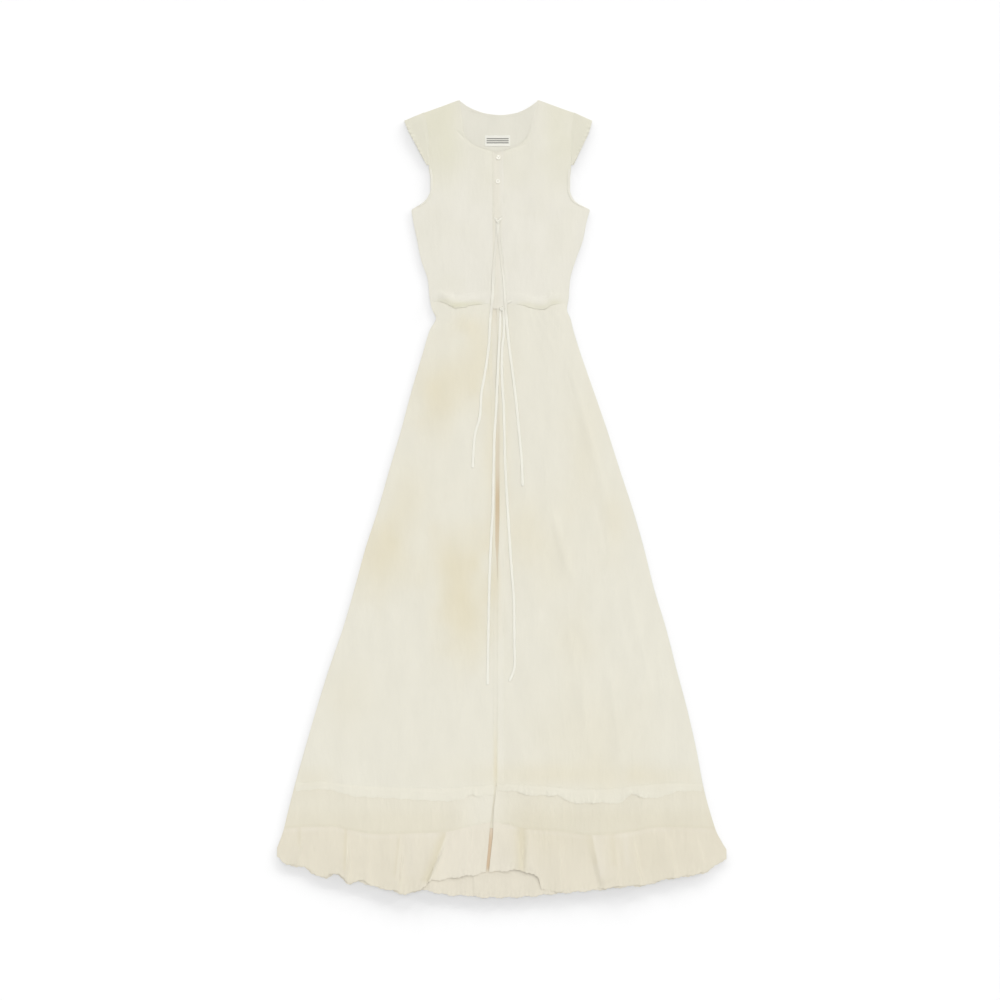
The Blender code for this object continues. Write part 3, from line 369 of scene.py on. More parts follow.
def bell(offset: Array, width: float | Array) -> Array:
    """1 at no offset, fading on both sides."""
    return np.exp(-((offset / width) ** 2))


def mix(a: Array | float, b: Array | float, t: Array | float) -> Array | float:
    """Value t of the way from a to b."""
    return a + (b - a) * t


def steps(count: int) -> Array:
    """Even shares from 0 to 1."""
    return np.linspace(0.0, 1.0, count + 1)


class Line:
    """Smooth line through table points that never overshoots them."""

    def __init__(self, pairs: Rows, scale: float = MM) -> None:
        """Keep the points in order of place, and the slopes at them.

        Args:
            pairs: Place and value, in millimetres.
            scale: Metres in one unit of a value.
        """
        points = np.array(sorted(pairs), float)
        self.places = points[:, 0] * MM
        self.values = points[:, 1] * scale
        self.spans = np.diff(self.places)
        slopes = np.diff(self.values) / self.spans
        before, after = slopes[:-1], slopes[1:]
        same = before * after > 0
        middle = np.where(same, 2 * before * after / np.where(same, before + after, 1.0), 0.0)
        self.tangents = np.concatenate([slopes[:1], middle, slopes[-1:]])

    def __call__(self, at: Array | float) -> Array:
        """Values at these places."""
        at = np.clip(at, self.places[0], self.places[-1])
        i = np.clip(np.searchsorted(self.places, at, side="right") - 1, 0, len(self.spans) - 1)
        span = self.spans[i]
        t = (at - self.places[i]) / span
        start = (1 + 2 * t) * (1 - t) ** 2 * self.values[i] + t * (1 - t) ** 2 * span * self.tangents[i]
        end = t * t * (3 - 2 * t) * self.values[i + 1] + t * t * (t - 1) * span * self.tangents[i + 1]
        return start + end


class Half:
    """Left or right half of the front, with the lines of its edges and seams."""

    def __init__(self, side: int, word: str, tier: Rows, frill: Rows, ruffle: Rows, hem: Rows) -> None:
        """Draw the lines.

        Args:
            side: -1 for the left half, 1 for the right one.
            word: Side in words, which is also its column in the Side tables.
            tier: Seam between skirt and tier.
            frill: Lower edge of the frill.
            ruffle: Seam between tier and ruffle.
            hem: Lower edge of the ruffle.
        """
        self.side, self.word = side, word
        self.seam, self.armhole, self.neck, self.cap, self.opening = (
            Line([(row.down, getattr(row, word)) for row in sides])
            for sides in (SIDES, ARMHOLES, FRONT_NECK, CAP_EDGES, OPENING))
        self.tier, self.frill, self.ruffle, self.hem = (Line(rows) for rows in (tier, frill, ruffle, hem))

    def grid(self, across: Array, along: Array, top: float, low: float) -> tuple[Array, Array, Array, Array]:
        """Grid between the side seam and the open front.

        Args:
            across: Shares of the way from the side seam to the opening.
            along: Shares of the way down.
            top: Depth of the first row, before its seam bends.
            low: Depth of the last row.

        Returns:
            Shares across and along, the row's depth, and x.
        """
        u, v = np.meshgrid(across, along)
        row = mix(top, low, v)
        return u, v, row, mix(body_edge(self.side, row), self.opening(row), u)


LEFT = Half(-1, "left", TIER_SEAM_LEFT, FRILL_LOW_LEFT, RUFFLE_SEAM_LEFT, HEM_LEFT)
RIGHT = Half(1, "right", TIER_SEAM_RIGHT, FRILL_LOW_RIGHT, RUFFLE_SEAM_RIGHT, HEM_RIGHT)
HALVES = (LEFT, RIGHT)
WAIST_LINE, PLACKET_RISE, BACK_HEM_LINE = Line(WAIST), Line(PLACKET_STEP), Line(BACK_HEM)
LIP_LINE, POUCH_LINE, FRILL_LIFT_LINE, DULL_LINE = (
    Line(shares, 1.0) for shares in (LIP_SHARE, POUCH_SHARE, FRILL_LIFT, TIE_DULLNESS))
INSIDE_LINE = Line(INSIDE_SHADE, 0.01)
UNDERARM = ARMHOLES[-1].down * MM
NECK_BOTTOM = FRONT_NECK[-1].down * MM


class Crinkle:
    """Smooth random height between about -1 and 1 on a repeated lattice of its own spacing."""

    SIZE = 97
    START = (-9.7, -9.3)  # corner of the lattice, far beyond the dress

    def __init__(self, seed: int, wide: float, tall: float) -> None:
        """Fix the lattice.

        Args:
            seed: Seed of its values.
            wide: Spacing across, in metres.
            tall: Spacing along, in metres.
        """
        self.values = np.random.default_rng(seed).uniform(-1, 1, (self.SIZE, self.SIZE))
        self.wide, self.tall = wide, tall

    def __call__(self, x: Array, down: Array) -> Array:
        """Heights at these places."""
        gx, gy = (x - self.START[0]) / self.wide, (down - self.START[1]) / self.tall
        i, j = np.floor(gx).astype(int), np.floor(gy).astype(int)
        fx, fy = ease(gx - i), ease(gy - j)
        top, low = (mix(self.values[row % self.SIZE, i % self.SIZE], self.values[row % self.SIZE, (i + 1) % self.SIZE],
                        fx) for row in (j, j + 1))
        return mix(top, low, fy)


FINE_CRINKLE = Crinkle(11, 9 * MM, 34 * MM)
SOFT_CRINKLE = Crinkle(12, 22 * MM, 60 * MM)
BROAD_CRINKLE = Crinkle(13, 70 * MM, 170 * MM)
GATHER_NOISE = Crinkle(15, 5.5 * MM, 60 * MM)
PATCH_NOISE = Crinkle(16, 26 * MM, 34 * MM)
RELIEF = ((0.16 * MM, FINE_CRINKLE), (0.32 * MM, SOFT_CRINKLE), (0.5 * MM, BROAD_CRINKLE))


def to_world(x: Array, down: Array, z: Array) -> Array:
    """Points in the part's frame."""
    x, down, z = np.broadcast_arrays(x, down, z)
    return np.stack([x - CENTRE_X, LENGTH / 2 - down, z], axis=-1)


def body_edge(side: Array | int, down: Array) -> Array:
    """Outer edge of the dress at a depth, signed by side: armhole above the underarm, side seam below."""
    left, right = (np.where(down < UNDERARM, half.armhole(down), half.seam(down)) for half in HALVES)
    return np.where(np.asarray(side) < 0, -left, right)


def body_share(x: Array, down: Array) -> Array:
    """0 at the centre line to 1 at the outer edge of the dress."""
    return np.clip(np.abs(x / body_edge(np.sign(x) + 0.5, down)), 0.0, 1.0)


def crease_height(crease: Crease, x: Array, down: Array) -> Array:
    """Height of one crease at these places."""
    xs, downs = zip(*crease.route)
    upright = max(downs) - min(downs) > max(xs) - min(xs)
    steady, free, at, beside = (downs, xs, down, x) if upright else (xs, downs, x, down)
    offset = beside - Line(list(zip(steady, free)))(at)
    share = (at / MM - min(steady)) / (max(steady) - min(steady))
    ends = ease(share / 0.3) * ease((1 - share) / 0.3)
    return crease.height * MM * ends * bell(offset, np.where(offset < 0, crease.before, crease.after) * MM)


def gathers(x: Array, below: Array, spacing: float, reach: float, spread: float) -> Array:
    """Uneven small gathers under a drawn line, 0 to 1, that fan out and fade.

    Args:
        x: Places across.
        below: Depth below the drawn line.
        spacing: Usual distance between two gathers.
        reach: Depth at which they have faded.
        spread: How far below the line they have fanned out to twice their spacing.

    Returns:
        Height shares.
    """
    fan = x * spread / (spread + np.maximum(below, 0.0))
    uneven = 0.9 * np.sin(fan / (2.3 * spacing)) + 0.6 * np.sin(fan / (0.83 * spacing) + 1.1)
    fade = rise(below, -4, 5) * (1 - ease(below / reach))
    return fade * (0.5 - 0.5 * np.cos(2 * math.pi * fan / spacing + uneven))


def front_height(x: Array, down: Array) -> Array:
    """Height of the middle of the front layer, without the ruffle's pleats and the blouse."""
    share = body_share(x, down)
    crown = BULGE * (1 - share ** 4) * rise(down, 10, 80)
    relief = sum(crease_height(crease, x, down) for crease in CREASES)
    for height, crinkle in RELIEF:
        relief = relief + height * crinkle(x, down)
    drawn = gathers(x, down - WAIST_LINE(x) - GATHER_START, *GATHER_SIZES)
    relief = relief + np.where(x < 0, *GATHER_HEIGHTS) * drawn
    opening = (LEFT.opening(down) + RIGHT.opening(down)) / 2
    settled = bell(x - opening, OPENING_REACH) * rise(down, 380, 40) * (1 - 0.5 * rise(down, 1335, 40))
    return FRONT_BASE + crown * (1 - settled) + np.maximum(relief, DEEPEST) * (1 - share ** 8) * (1 - 0.8 * settled)


def blouse_height(x: Array, down: Array) -> Array:
    """Height of the middle of the front bodice, which lifts over the top of the skirt."""
    above = WAIST_LINE(x) - down
    clear = mix(LIP_FLUSH, LIP_CLEAR, LIP_LINE(x)) * ease((LIP_OVERLAP + 14 * MM - above) / (10 * MM))
    pouch = POUCH * POUCH_LINE(x) * bell(above - 9 * MM, 9 * MM)
    return front_height(x, down) + clear + pouch * (1 - body_share(x, down) ** 6)


def wave(x: Array, spacing: float, shift: float = 0.0) -> Array:
    """Uneven wave between -1 and 1 along an edge."""
    drift = 0.55 * np.sin(x / 0.071 + shift) + 0.35 * np.sin(x / 0.029 + 1.3 + shift)
    return np.sin(2 * math.pi * x / spacing + drift + shift)


def hem_reach(x: Array) -> Array:
    """How far a rolled hem reaches in and out along its edge."""
    return 1.2 * MM * wave(x, HEM_WAVE) + 0.6 * MM * wave(x, HEM_RIPPLE, 0.7)


def linked(name: str, data: bpy.types.ID) -> bpy.types.Object:
    """New object of this data in the scene."""
    piece = bpy.data.objects.new(name, data)
    bpy.context.scene.collection.objects.link(piece)
    return piece


def finished(name: str, shape: bmesh.types.BMesh, ending: str = "") -> bpy.types.Object:
    """New object of a bmesh, which is freed.

    Args:
        name: Name of its mesh.
        shape: The bmesh.
        ending: What the object's name has after the mesh's.

    Returns:
        The linked object.
    """
    mesh = bpy.data.meshes.new(name)
    shape.to_mesh(mesh)
    shape.free()
    return linked(name + ending, mesh)


def smoothed(mesh: bpy.types.Mesh, sharp: float) -> None:
    """Shade a mesh smooth, but for edges sharper than an angle in degrees."""
    mesh.polygons.foreach_set("use_smooth", np.ones(len(mesh.polygons), bool))
    mesh.set_sharp_from_angle(angle=math.radians(sharp))


def shell(name: str, middle: Array, thickness: Array | float) -> bpy.types.Object:
    """Closed piece of cloth around a grid of middle points.

    Args:
        name: Name of the object.
        middle: Grid of points, rows by columns by 3.
        thickness: Thickness in metres, one or for each point.

    Returns:
        The linked object.
    """
    normal = np.cross(np.gradient(middle, axis=1), np.gradient(middle, axis=0))
    normal /= np.maximum(np.linalg.norm(normal, axis=-1, keepdims=True), 1e-12)
    offset = normal * (np.broadcast_to(np.asarray(thickness, float), middle.shape[:2])[..., None] / 2)
    rows, columns = middle.shape[:2]
    count = rows * columns
    index = np.arange(count).reshape(rows, columns)
    top = np.stack([index[:-1, :-1], index[:-1, 1:], index[1:, 1:], index[1:, :-1]], -1).reshape(-1, 4)
    rim = np.concatenate([index[0], index[1:, -1], index[-1, -2::-1], index[-2:0:-1, 0]])
    after = np.roll(rim, -1)
    wall = np.stack([after, rim, rim + count, after + count], -1)
    faces = np.concatenate([top, top[:, ::-1] + count, wall])
    points = np.concatenate([(middle + offset).reshape(-1, 3), (middle - offset).reshape(-1, 3)])
    mesh = bpy.data.meshes.new(name)
    mesh.from_pydata(points.tolist(), [], faces.tolist())
    smoothed(mesh, 60)
    mesh.update()
    return linked(name, mesh)


def plain_mesh(piece: bpy.types.Object) -> bpy.types.Mesh:
    """Copy of an object's mesh with its modifiers worked out."""
    graph = bpy.context.evaluated_depsgraph_get()
    graph.update()
    return bpy.data.meshes.new_from_object(piece.evaluated_get(graph))


def tube(shape: bmesh.types.BMesh, path: Array, half_wide: float | Array, half_high: float | Array,
         around: int) -> None:
    """Add a closed oval tube that follows a path, its wide way level.

    Args:
        shape: Mesh to add to.
        path: Centres of its rings.
        half_wide: Half its width, one or for each ring.
        half_high: Half its height, one or for each ring.
        around: Points in a ring.
    """
    along = np.gradient(path, axis=0)
    along /= np.linalg.norm(along, axis=1, keepdims=True)
    across = np.cross(along, np.array([0.0, 0.0, 1.0]))
    across[np.linalg.norm(across, axis=1) < 1e-6] = (1.0, 0.0, 0.0)
    across /= np.linalg.norm(across, axis=1, keepdims=True)
    up = np.cross(across, along)
    wide, high = (np.broadcast_to(half, len(path)) for half in (half_wide, half_high))
    turns = np.linspace(0, 2 * math.pi, around, endpoint=False)
    rings = []
    for i, centre in enumerate(path):
        ring = [centre + across[i] * wide[i] * math.cos(a) + up[i] * high[i] * math.sin(a) for a in turns]
        rings.append([shape.verts.new(Vector(p)) for p in ring])
    for first, second in zip(rings, rings[1:]):
        for k in range(around):
            m = (k + 1) % around
            shape.faces.new((first[k], first[m], second[m], second[k])).smooth = True
    shape.faces.new(rings[0][::-1])
    shape.faces.new(rings[-1])
    bmesh.ops.recalc_face_normals(shape, faces=shape.faces)


def smooth_route(route: Array, step: float) -> Array:
    """Even places on one smooth curve through a route's points.

    Args:
        route: Points, x and depth in metres.
        step: Distance between places.

    Returns:
        Places, x and depth.
    """
    ends = np.concatenate([route[:1], route, route[-1:]])
    fine = []
    for before, start, end, after in zip(ends, ends[1:], ends[2:], ends[3:]):
        t = np.linspace(0, 1, 24, endpoint=False)[:, None]
        fine.append(((-t + 2 * t ** 2 - t ** 3) * before + (2 - 5 * t ** 2 + 3 * t ** 3) * start
                     + (t + 4 * t ** 2 - 3 * t ** 3) * end + (-t ** 2 + t ** 3) * after) / 2)
    fine = np.concatenate([*fine, route[-1:]])
    along = np.concatenate([[0], np.cumsum(np.linalg.norm(np.diff(fine, axis=0), axis=1))])
    at = np.linspace(0, along[-1], max(int(along[-1] / step), 3))
    return np.stack([np.interp(at, along, fine[:, k]) for k in range(2)], -1)


def set_inputs(node: bpy.types.Node, inputs: dict[str | int, object]) -> None:
    """Give a node's inputs their values, or link them where a socket is given."""
    for name, value in inputs.items():
        if isinstance(value, bpy.types.NodeSocket):
            node.id_data.links.new(value, node.inputs[name])
        else:
            node.inputs[name].default_value = value


def add_node(tree: bpy.types.NodeTree, kind: str, inputs: dict[str | int, object] | None = None,
             **settings: str) -> bpy.types.Node:
    """New node in a tree.

    Args:
        tree: Node tree to add to.
        kind: Type of the node.
        inputs: Values of its inputs, or the sockets linked to them.
        **settings: Its other properties.

    Returns:
        The node.
    """
    node = tree.nodes.new(kind)
    for name, value in settings.items():
        setattr(node, name, value)
    set_inputs(node, inputs or {})
    return node


# Stretch of each axis, cells in a metre and octaves
MOTTLING = ((1, 0.35, 1), 30.0, 6.0)
CRINKLING = ((1, 0.3, 1), 190.0, 5.0)
CLOUD = ((1, 1, 1), 260.0, 3.0)


def noise(tree: bpy.types.NodeTree, place: bpy.types.NodeSocket, stretch: Triple, scale: float,
          detail: float) -> bpy.types.NodeSocket:
    """Value socket of noise on stretched coordinates, with so many cells in a metre and so many octaves."""
    mapping = add_node(tree, "ShaderNodeMapping", {"Scale": stretch, "Vector": place})
    return add_node(tree, "ShaderNodeTexNoise", {
        "Scale": scale, "Detail": detail, "Vector": mapping.outputs["Vector"]}).outputs["Fac"]


def bump(tree: bpy.types.NodeTree, height: bpy.types.NodeSocket, strength: float, distance: float,
         under: bpy.types.NodeSocket | None = None) -> bpy.types.NodeSocket:
    """Normal socket of a bump from a height socket, its distance in metres, on top of another bump's normal."""
    inputs = {"Strength": strength, "Distance": distance, "Height": height}
    return add_node(tree, "ShaderNodeBump", inputs | ({"Normal": under} if under else {})).outputs["Normal"]


def new_material(name: str) -> tuple[bpy.types.Material, bpy.types.NodeTree, bpy.types.Node]:
    """Material with its node tree and its shader."""
    made = bpy.data.materials.new(name)
    made.use_nodes = True
    return made, made.node_tree, made.node_tree.nodes["Principled BSDF"]


@dataclass(frozen=True)
class ClothFinish:
    """Crinkled cotton of one colour, with stains and painted shade."""

    name: str
    slot: Slot
    color: Triple
    # Colour that the stain_and_shade attribute mixes in: of stains and print, and of painted shade on the pieces that
    # have it
    stain_and_shade: Triple = (0.70, 0.64, 0.47)
    crinkle: float = 0.30
    mottle: float = 0.025
    roughness: float = 0.92
    sheen: float = 0.12
    weave: float = 0.25
    threads: float = 520.0  # of the weave, in a metre
    kind: str = "cloth"

    def make(self) -> bpy.types.Material:
        """Node material of this cloth: weave and crinkle in the bump, mottling, stains and painted shade in the
        colour.

        Returns:
            The material.
        """
        finish, tree, shader = new_material(self.name)
        place = add_node(tree, "ShaderNodeTexCoord").outputs["Object"]
        ramp = add_node(tree, "ShaderNodeMapRange", {
            "Value": noise(tree, place, *MOTTLING), "From Min": 0.35, "From Max": 0.65,
            "To Min": 1 - self.mottle, "To Max": 1.0})
        marks = add_node(tree, "ShaderNodeAttribute", attribute_name="stain_and_shade")
        stained_and_shaded = add_node(tree, "ShaderNodeMix", data_type="RGBA")
        set_inputs(stained_and_shaded, {"A": (*self.color, 1.0), "B": (*self.stain_and_shade, 1.0), "Factor": marks.outputs["Fac"]})
        shaded = add_node(tree, "ShaderNodeMix", data_type="RGBA", blend_type="MULTIPLY")
        set_inputs(shaded, {"Factor": 1.0, "A": stained_and_shaded.outputs["Result"], "B": ramp.outputs["Result"]})
        waves = {i: add_node(tree, "ShaderNodeTexWave", {
            "Scale": self.threads, "Distortion": 1.2, "Detail": 1.0, "Vector": place},
            bands_direction=axis).outputs["Fac"] for i, axis in enumerate("XY")}
        woven = add_node(tree, "ShaderNodeMath", waves, operation="MULTIPLY").outputs["Value"]
        crinkled = noise(tree, place, *CRINKLING)
        under = bump(tree, woven, self.weave, 0.10 * MM)
        set_inputs(shader, {
            "Roughness": self.roughness, "Specular IOR Level": 0.18, "Sheen Weight": self.sheen,
            "Sheen Roughness": 0.6, "Base Color": shaded.outputs["Result"],
            "Normal": bump(tree, crinkled, self.crinkle, 0.9 * MM, under)})
        return finish


@dataclass(frozen=True)
class PlainFinish:
    """Smooth finish of buttons and thread."""

    name: str
    color: Triple
    roughness: float
    specular: float
    grain: float = 0.0

    def make(self) -> bpy.types.Material:
        """Node material with a faint cloud in its colour.

        Returns:
            The material.
        """
        finish, tree, shader = new_material(self.name)
        place = add_node(tree, "ShaderNodeTexCoord").outputs["Object"]
        cloud = noise(tree, place, *CLOUD)
        shade = add_node(tree, "ShaderNodeMix", data_type="RGBA")
        set_inputs(shade, {"A": (*(c * 0.94 for c in self.color), 1.0), "B": (*self.color, 1.0), "Factor": cloud})
        set_inputs(shader, {"Roughness": self.roughness, "Specular IOR Level": self.specular,
                            "Base Color": shade.outputs["Result"]})
        if self.grain:
            set_inputs(shader, {"Normal": bump(tree, cloud, self.grain, 0.1 * MM)})
        return finish


IVORY = ClothFinish("ivory_cotton", Slot.CLOTH, (0.735, 0.712, 0.615))
# Its second colour is the brown of painted shadow where the back shows through the opening
BACK_IVORY = ClothFinish("back_cotton", Slot.CLOTH, (0.735, 0.712, 0.615), (0.585, 0.474, 0.324))
BODICE_IVORY = ClothFinish("bodice_cotton", Slot.CLOTH, (0.742, 0.720, 0.638), (0.678, 0.658, 0.515))
CAP_IVORY = ClothFinish("cap_cotton", Slot.CLOTH, (0.695, 0.675, 0.566))
PLACKET_IVORY = ClothFinish("placket_cotton", Slot.CLOTH, (0.726, 0.698, 0.604), (0.742, 0.720, 0.638))
INSIDE_IVORY = ClothFinish("inside_cotton", Slot.CLOTH, (0.707, 0.688, 0.600))
RUFFLE_IVORY = ClothFinish("ruffle_cotton", Slot.RUFFLE, (0.728, 0.685, 0.578), (0.662, 0.612, 0.470), 0.4)
# Its second colour is the orange-brown of painted shadow where the back ruffle shows through the opening
BACK_RUFFLE_IVORY = ClothFinish("back_ruffle_cotton", Slot.RUFFLE, (0.700, 0.656, 0.548), (0.615, 0.468, 0.318), 0.4)
TIER_IVORY = ClothFinish("tier_cotton", Slot.RUFFLE, (0.743, 0.715, 0.614), (0.665, 0.618, 0.480), 0.4)
EDGING_IVORY = ClothFinish("edging_cotton", Slot.EDGING, (0.735, 0.715, 0.628))
BAND_IVORY = ClothFinish("band_cotton", Slot.EDGING, (0.748, 0.726, 0.632))
FRILL_IVORY = ClothFinish("frill_cotton", Slot.EDGING, (0.742, 0.716, 0.612), (0.690, 0.650, 0.515))
TIE_IVORY = ClothFinish("tie_cotton", Slot.TIES, (0.800, 0.785, 0.700), (0.722, 0.698, 0.612), 0.2, 0.03)
LABEL_WHITE = ClothFinish("label_weave", Slot.LABEL, (0.775, 0.765, 0.695), (0.10, 0.10, 0.09), 0.05, 0.02, 0.6,
                          kind="weave")
BUTTON_SHELL = PlainFinish("button_shell", (0.96, 0.94, 0.85), 0.22, 0.6)
THREAD = PlainFinish("sewing_thread", (0.72, 0.70, 0.60), 0.7, 0.3, 0.3)


def patches(stains: Sequence[StainOrShade], x: Array, down: Array, uneven: Array | float = 1.0) -> Array:
    """Summed depth of soft patches at these places.

    Args:
        stains: The patches.
        x: Places across.
        down: Depths.
        uneven: How much faster they fade than evenly.

    Returns:
        Depth at each place.
    """
    depth = np.zeros_like(x)
    for stain_and_shade in stains:
        reach = ((x / MM - stain_and_shade.x) / stain_and_shade.wide) ** 2 + ((down / MM - stain_and_shade.down) / stain_and_shade.tall) ** 2
        depth = depth + stain_and_shade.depth * np.exp(-reach * uneven)
    return depth


def stains_and_shade_depth(x: Array, down: Array) -> Array:
    """How strongly the cloth is stained at these places, with painted shade of the slit where the fronts lap closed.
    """
    return np.clip(patches(STAINS_AND_SHADE, x, down, 1 + 0.35 * PATCH_NOISE(x, down)), 0.0, 1.0)


def inside_shade(x: Array, down: Array) -> Array:
    """Brown painted shadow on the back's inside, where it shows through the open front."""
    return INSIDE_LINE(down) * bell(x - (LEFT.opening(down) + RIGHT.opening(down)) / 2, INSIDE_REACH)


def above_ruffle(x: Array, down: Array) -> Array:
    """Distance above the seam between the tier and the ruffle."""
    return np.where(x < SIDES_MEET, LEFT.ruffle(x), RIGHT.ruffle(x)) - down


def tier_shade(x: Array, down: Array) -> Array:
    """Stains of the tier, whose lower part is a little darker and which is lightest beside the opening, with painted
    shade along its lower seam.
    """
    light = bell(x - TIER_LIGHT[0], TIER_LIGHT[1])
    above, wide, deep = SEAM_SHADE
    dark = stains_and_shade_depth(x, down) + TIER_DARK * rise(down, 1365, 36) + deep * bell(above_ruffle(x, down) - above, wide)
    return np.clip(0.33 * (1 - light) + 0.67 * dark * (1 - 0.6 * light), 0.0, 1.0)


def ruffle_shade(x: Array, down: Array) -> Array:
    """Stains of the ruffle, painted shade and highlights of its folds, and a painted highlight here and there along
    its seam; the ruffle is lightest beside the opening.
    """
    middle, *fade = RUFFLE_LIGHT
    above, wide, light, uneven = SEAM_LIGHT
    depth = stains_and_shade_depth(x, down) + RUFFLE_DARK * rise(np.abs(x - middle * MM), *fade)
    depth = depth - (light + uneven * PATCH_NOISE(x, down)) * bell(above_ruffle(x, down) - above, wide)
    for fold in RUFFLE_FOLD_SHADE:
        along = np.clip((down / MM - fold.top) / (fold.low - fold.top), 0.0, 1.0)
        beside = x / MM - mix(fold.top_x, fold.low_x, along)
        past = np.maximum(np.maximum(fold.top - down / MM, down / MM - fold.low), 0.0)
        depth = depth + fold.depth * bell(beside, np.where(beside < 0, fold.before, fold.after)) * bell(past, 8)
    return np.clip(depth, 0.0, 1.0)


def placket_shade(x: Array, down: Array) -> Array:
    """Share of the bodice's own shade in the placket, which grows towards the right front."""
    return rise(x, -9, 11) * (1 - 0.5 * ease((140 * MM - down) / (30 * MM)))


def shoulder_shade(x: Array, down: Array) -> Array:
    """Yellowed shoulders and sides of the bodice, and the folds above its lip, yellowed and with painted shade."""
    outer = rise(np.abs(x), 55, 60)
    shade = (1 - rise(down, 90, 110)) * (0.3 + 0.7 * outer) * np.where(x < 0, *SHOULDER_SHADE) + 0.1 * outer
    return np.clip(shade + patches(LIP_TINT_AND_SHADE, x, down) + 0.08 * PATCH_NOISE(x, down), 0.0, 1.0)


def label_stripes(x: Array, down: Array) -> Array:
    """Three plain dark stripes woven along the label."""
    left, right, top, _ = LABEL
    within = rise(x - left, 3, 0.4) * rise(right - x, 3, 0.4)
    stripes = sum(1 - rise(np.abs(down - top - middle * MM), 0.9, 0.3) for middle in (7, 11, 15))
    return 0.85 * within * np.clip(stripes, 0.0, 1.0)


def turned_edge(away: Array, wide: float) -> Array:
    """Thickness of cloth that is turned under along an edge, at a distance from it, for a turning of some width."""
    return CLOTH + 0.5 * MM * (1 - rise(away - wide, -0.6, 1.2))


def lapped(down: Array) -> Array:
    """How far the right front laps over the left one at a depth, 0 to 1."""
    return rise(down, 860, 120) * (1 - rise(down, 1310, 30))


def lap_shift(half: Half, x: Array, down: Array) -> tuple[Array, Array]:
    """Sideways and upward shift of a front half beside its lap.

    Args:
        half: The half.
        x: Places across.
        down: Depths.

    Returns:
        Shift across, and shift up.
    """
    across, up = (3.2 * MM, -0.55 * MM) if half is LEFT else (-0.3 * MM, 0.25 * MM)
    near = lapped(down) * (1 - ease(np.abs(x - half.opening(down)) / (16 * MM)))
    return across * near, up * near


def set_shade_and_stain(mesh: bpy.types.Mesh, depth: Array) -> None:
    """Keep the depth of stain and painted shade at each vertex."""
    mesh.attributes.new("stain_and_shade", "FLOAT", "POINT").data.foreach_set("value", depth.astype(np.float32))


@dataclass(frozen=True)
class Cut:
    """Flat cut of one piece of cloth, before it was gathered or laid."""

    wide: float
    long: float
    held: str = "laid"
    fullness: float = 1.0


class Workshop:
    """The finishes, and the pieces laid so far."""

    def __init__(self) -> None:
        """Start with nothing laid."""
        self.materials: dict[str, bpy.types.Material] = {}
        self.trees: dict[str, BVHTree] = {}

    def material(self, finish: ClothFinish | PlainFinish) -> bpy.types.Material:
        """The material of a finish, made once."""
        if finish.name not in self.materials:
            self.materials[finish.name] = finish.make()
        return self.materials[finish.name]

    def fit(self, piece: bpy.types.Object, finish: ClothFinish | PlainFinish | None, slot: Slot,
            *nodes: str) -> None:
        """Give a piece its finish and its place in the frame.

        Args:
            piece: Mesh object.
            finish: Its finish, if it hasn't got one.
            slot: Its material slot; not used.
            *nodes: Nodes of the part that it stands for.
        """
        if finish:
            piece.data.materials.append(self.material(finish))
        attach(piece, "root")
        if nodes:
            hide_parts(*nodes)

    def sew(self, node: str, middle: Array, thickness: Array | float, finish: ClothFinish,
            stain_and_shade: Field = stains_and_shade_depth, carries: bool = True) -> None:
        """Make and lay one piece of cloth.

        Args:
            node: Node of the part that it stands for.
            middle: Grid of its middle points.
            thickness: Thickness, one or for each point.
            finish: Its cloth.
            stain_and_shade: Depth of stain and painted shade at a place.
            carries: Whether later pieces can lie on it.
        """
        piece = shell(f"{node}_{finish.kind}", middle, thickness)
        mesh = piece.data
        points = np.zeros(len(mesh.vertices) * 3, np.float32)
        mesh.vertices.foreach_get("co", points)
        x, down = points[0::3] + CENTRE_X, LENGTH / 2 - points[1::3]
        set_shade_and_stain(mesh, stain_and_shade(x.astype(float), down.astype(float)))
        corners = np.zeros(len(mesh.loops), np.int32)
        mesh.loops.foreach_get("vertex_index", corners)
        self.fit(piece, finish, finish.slot, node)
        if carries:
            self.pile(piece)

    def pile(self, piece: bpy.types.Object) -> None:
        """Count a piece among those that others lie on."""
        points = [v.co for v in piece.data.vertices]
        self.trees[piece.name] = BVHTree.FromPolygons(points, [tuple(p.vertices) for p in piece.data.polygons])

    def top(self, x: float, down: float) -> float:
        """Height of the topmost piece at a place, or the floor."""
        start = Vector((x - CENTRE_X, LENGTH / 2 - down, 0.1))
        hits = [tree.ray_cast(start, Vector((0, 0, -1)))[0] for tree in self.trees.values()]
        return max([hit.z for hit in hits if hit] + [0.0])


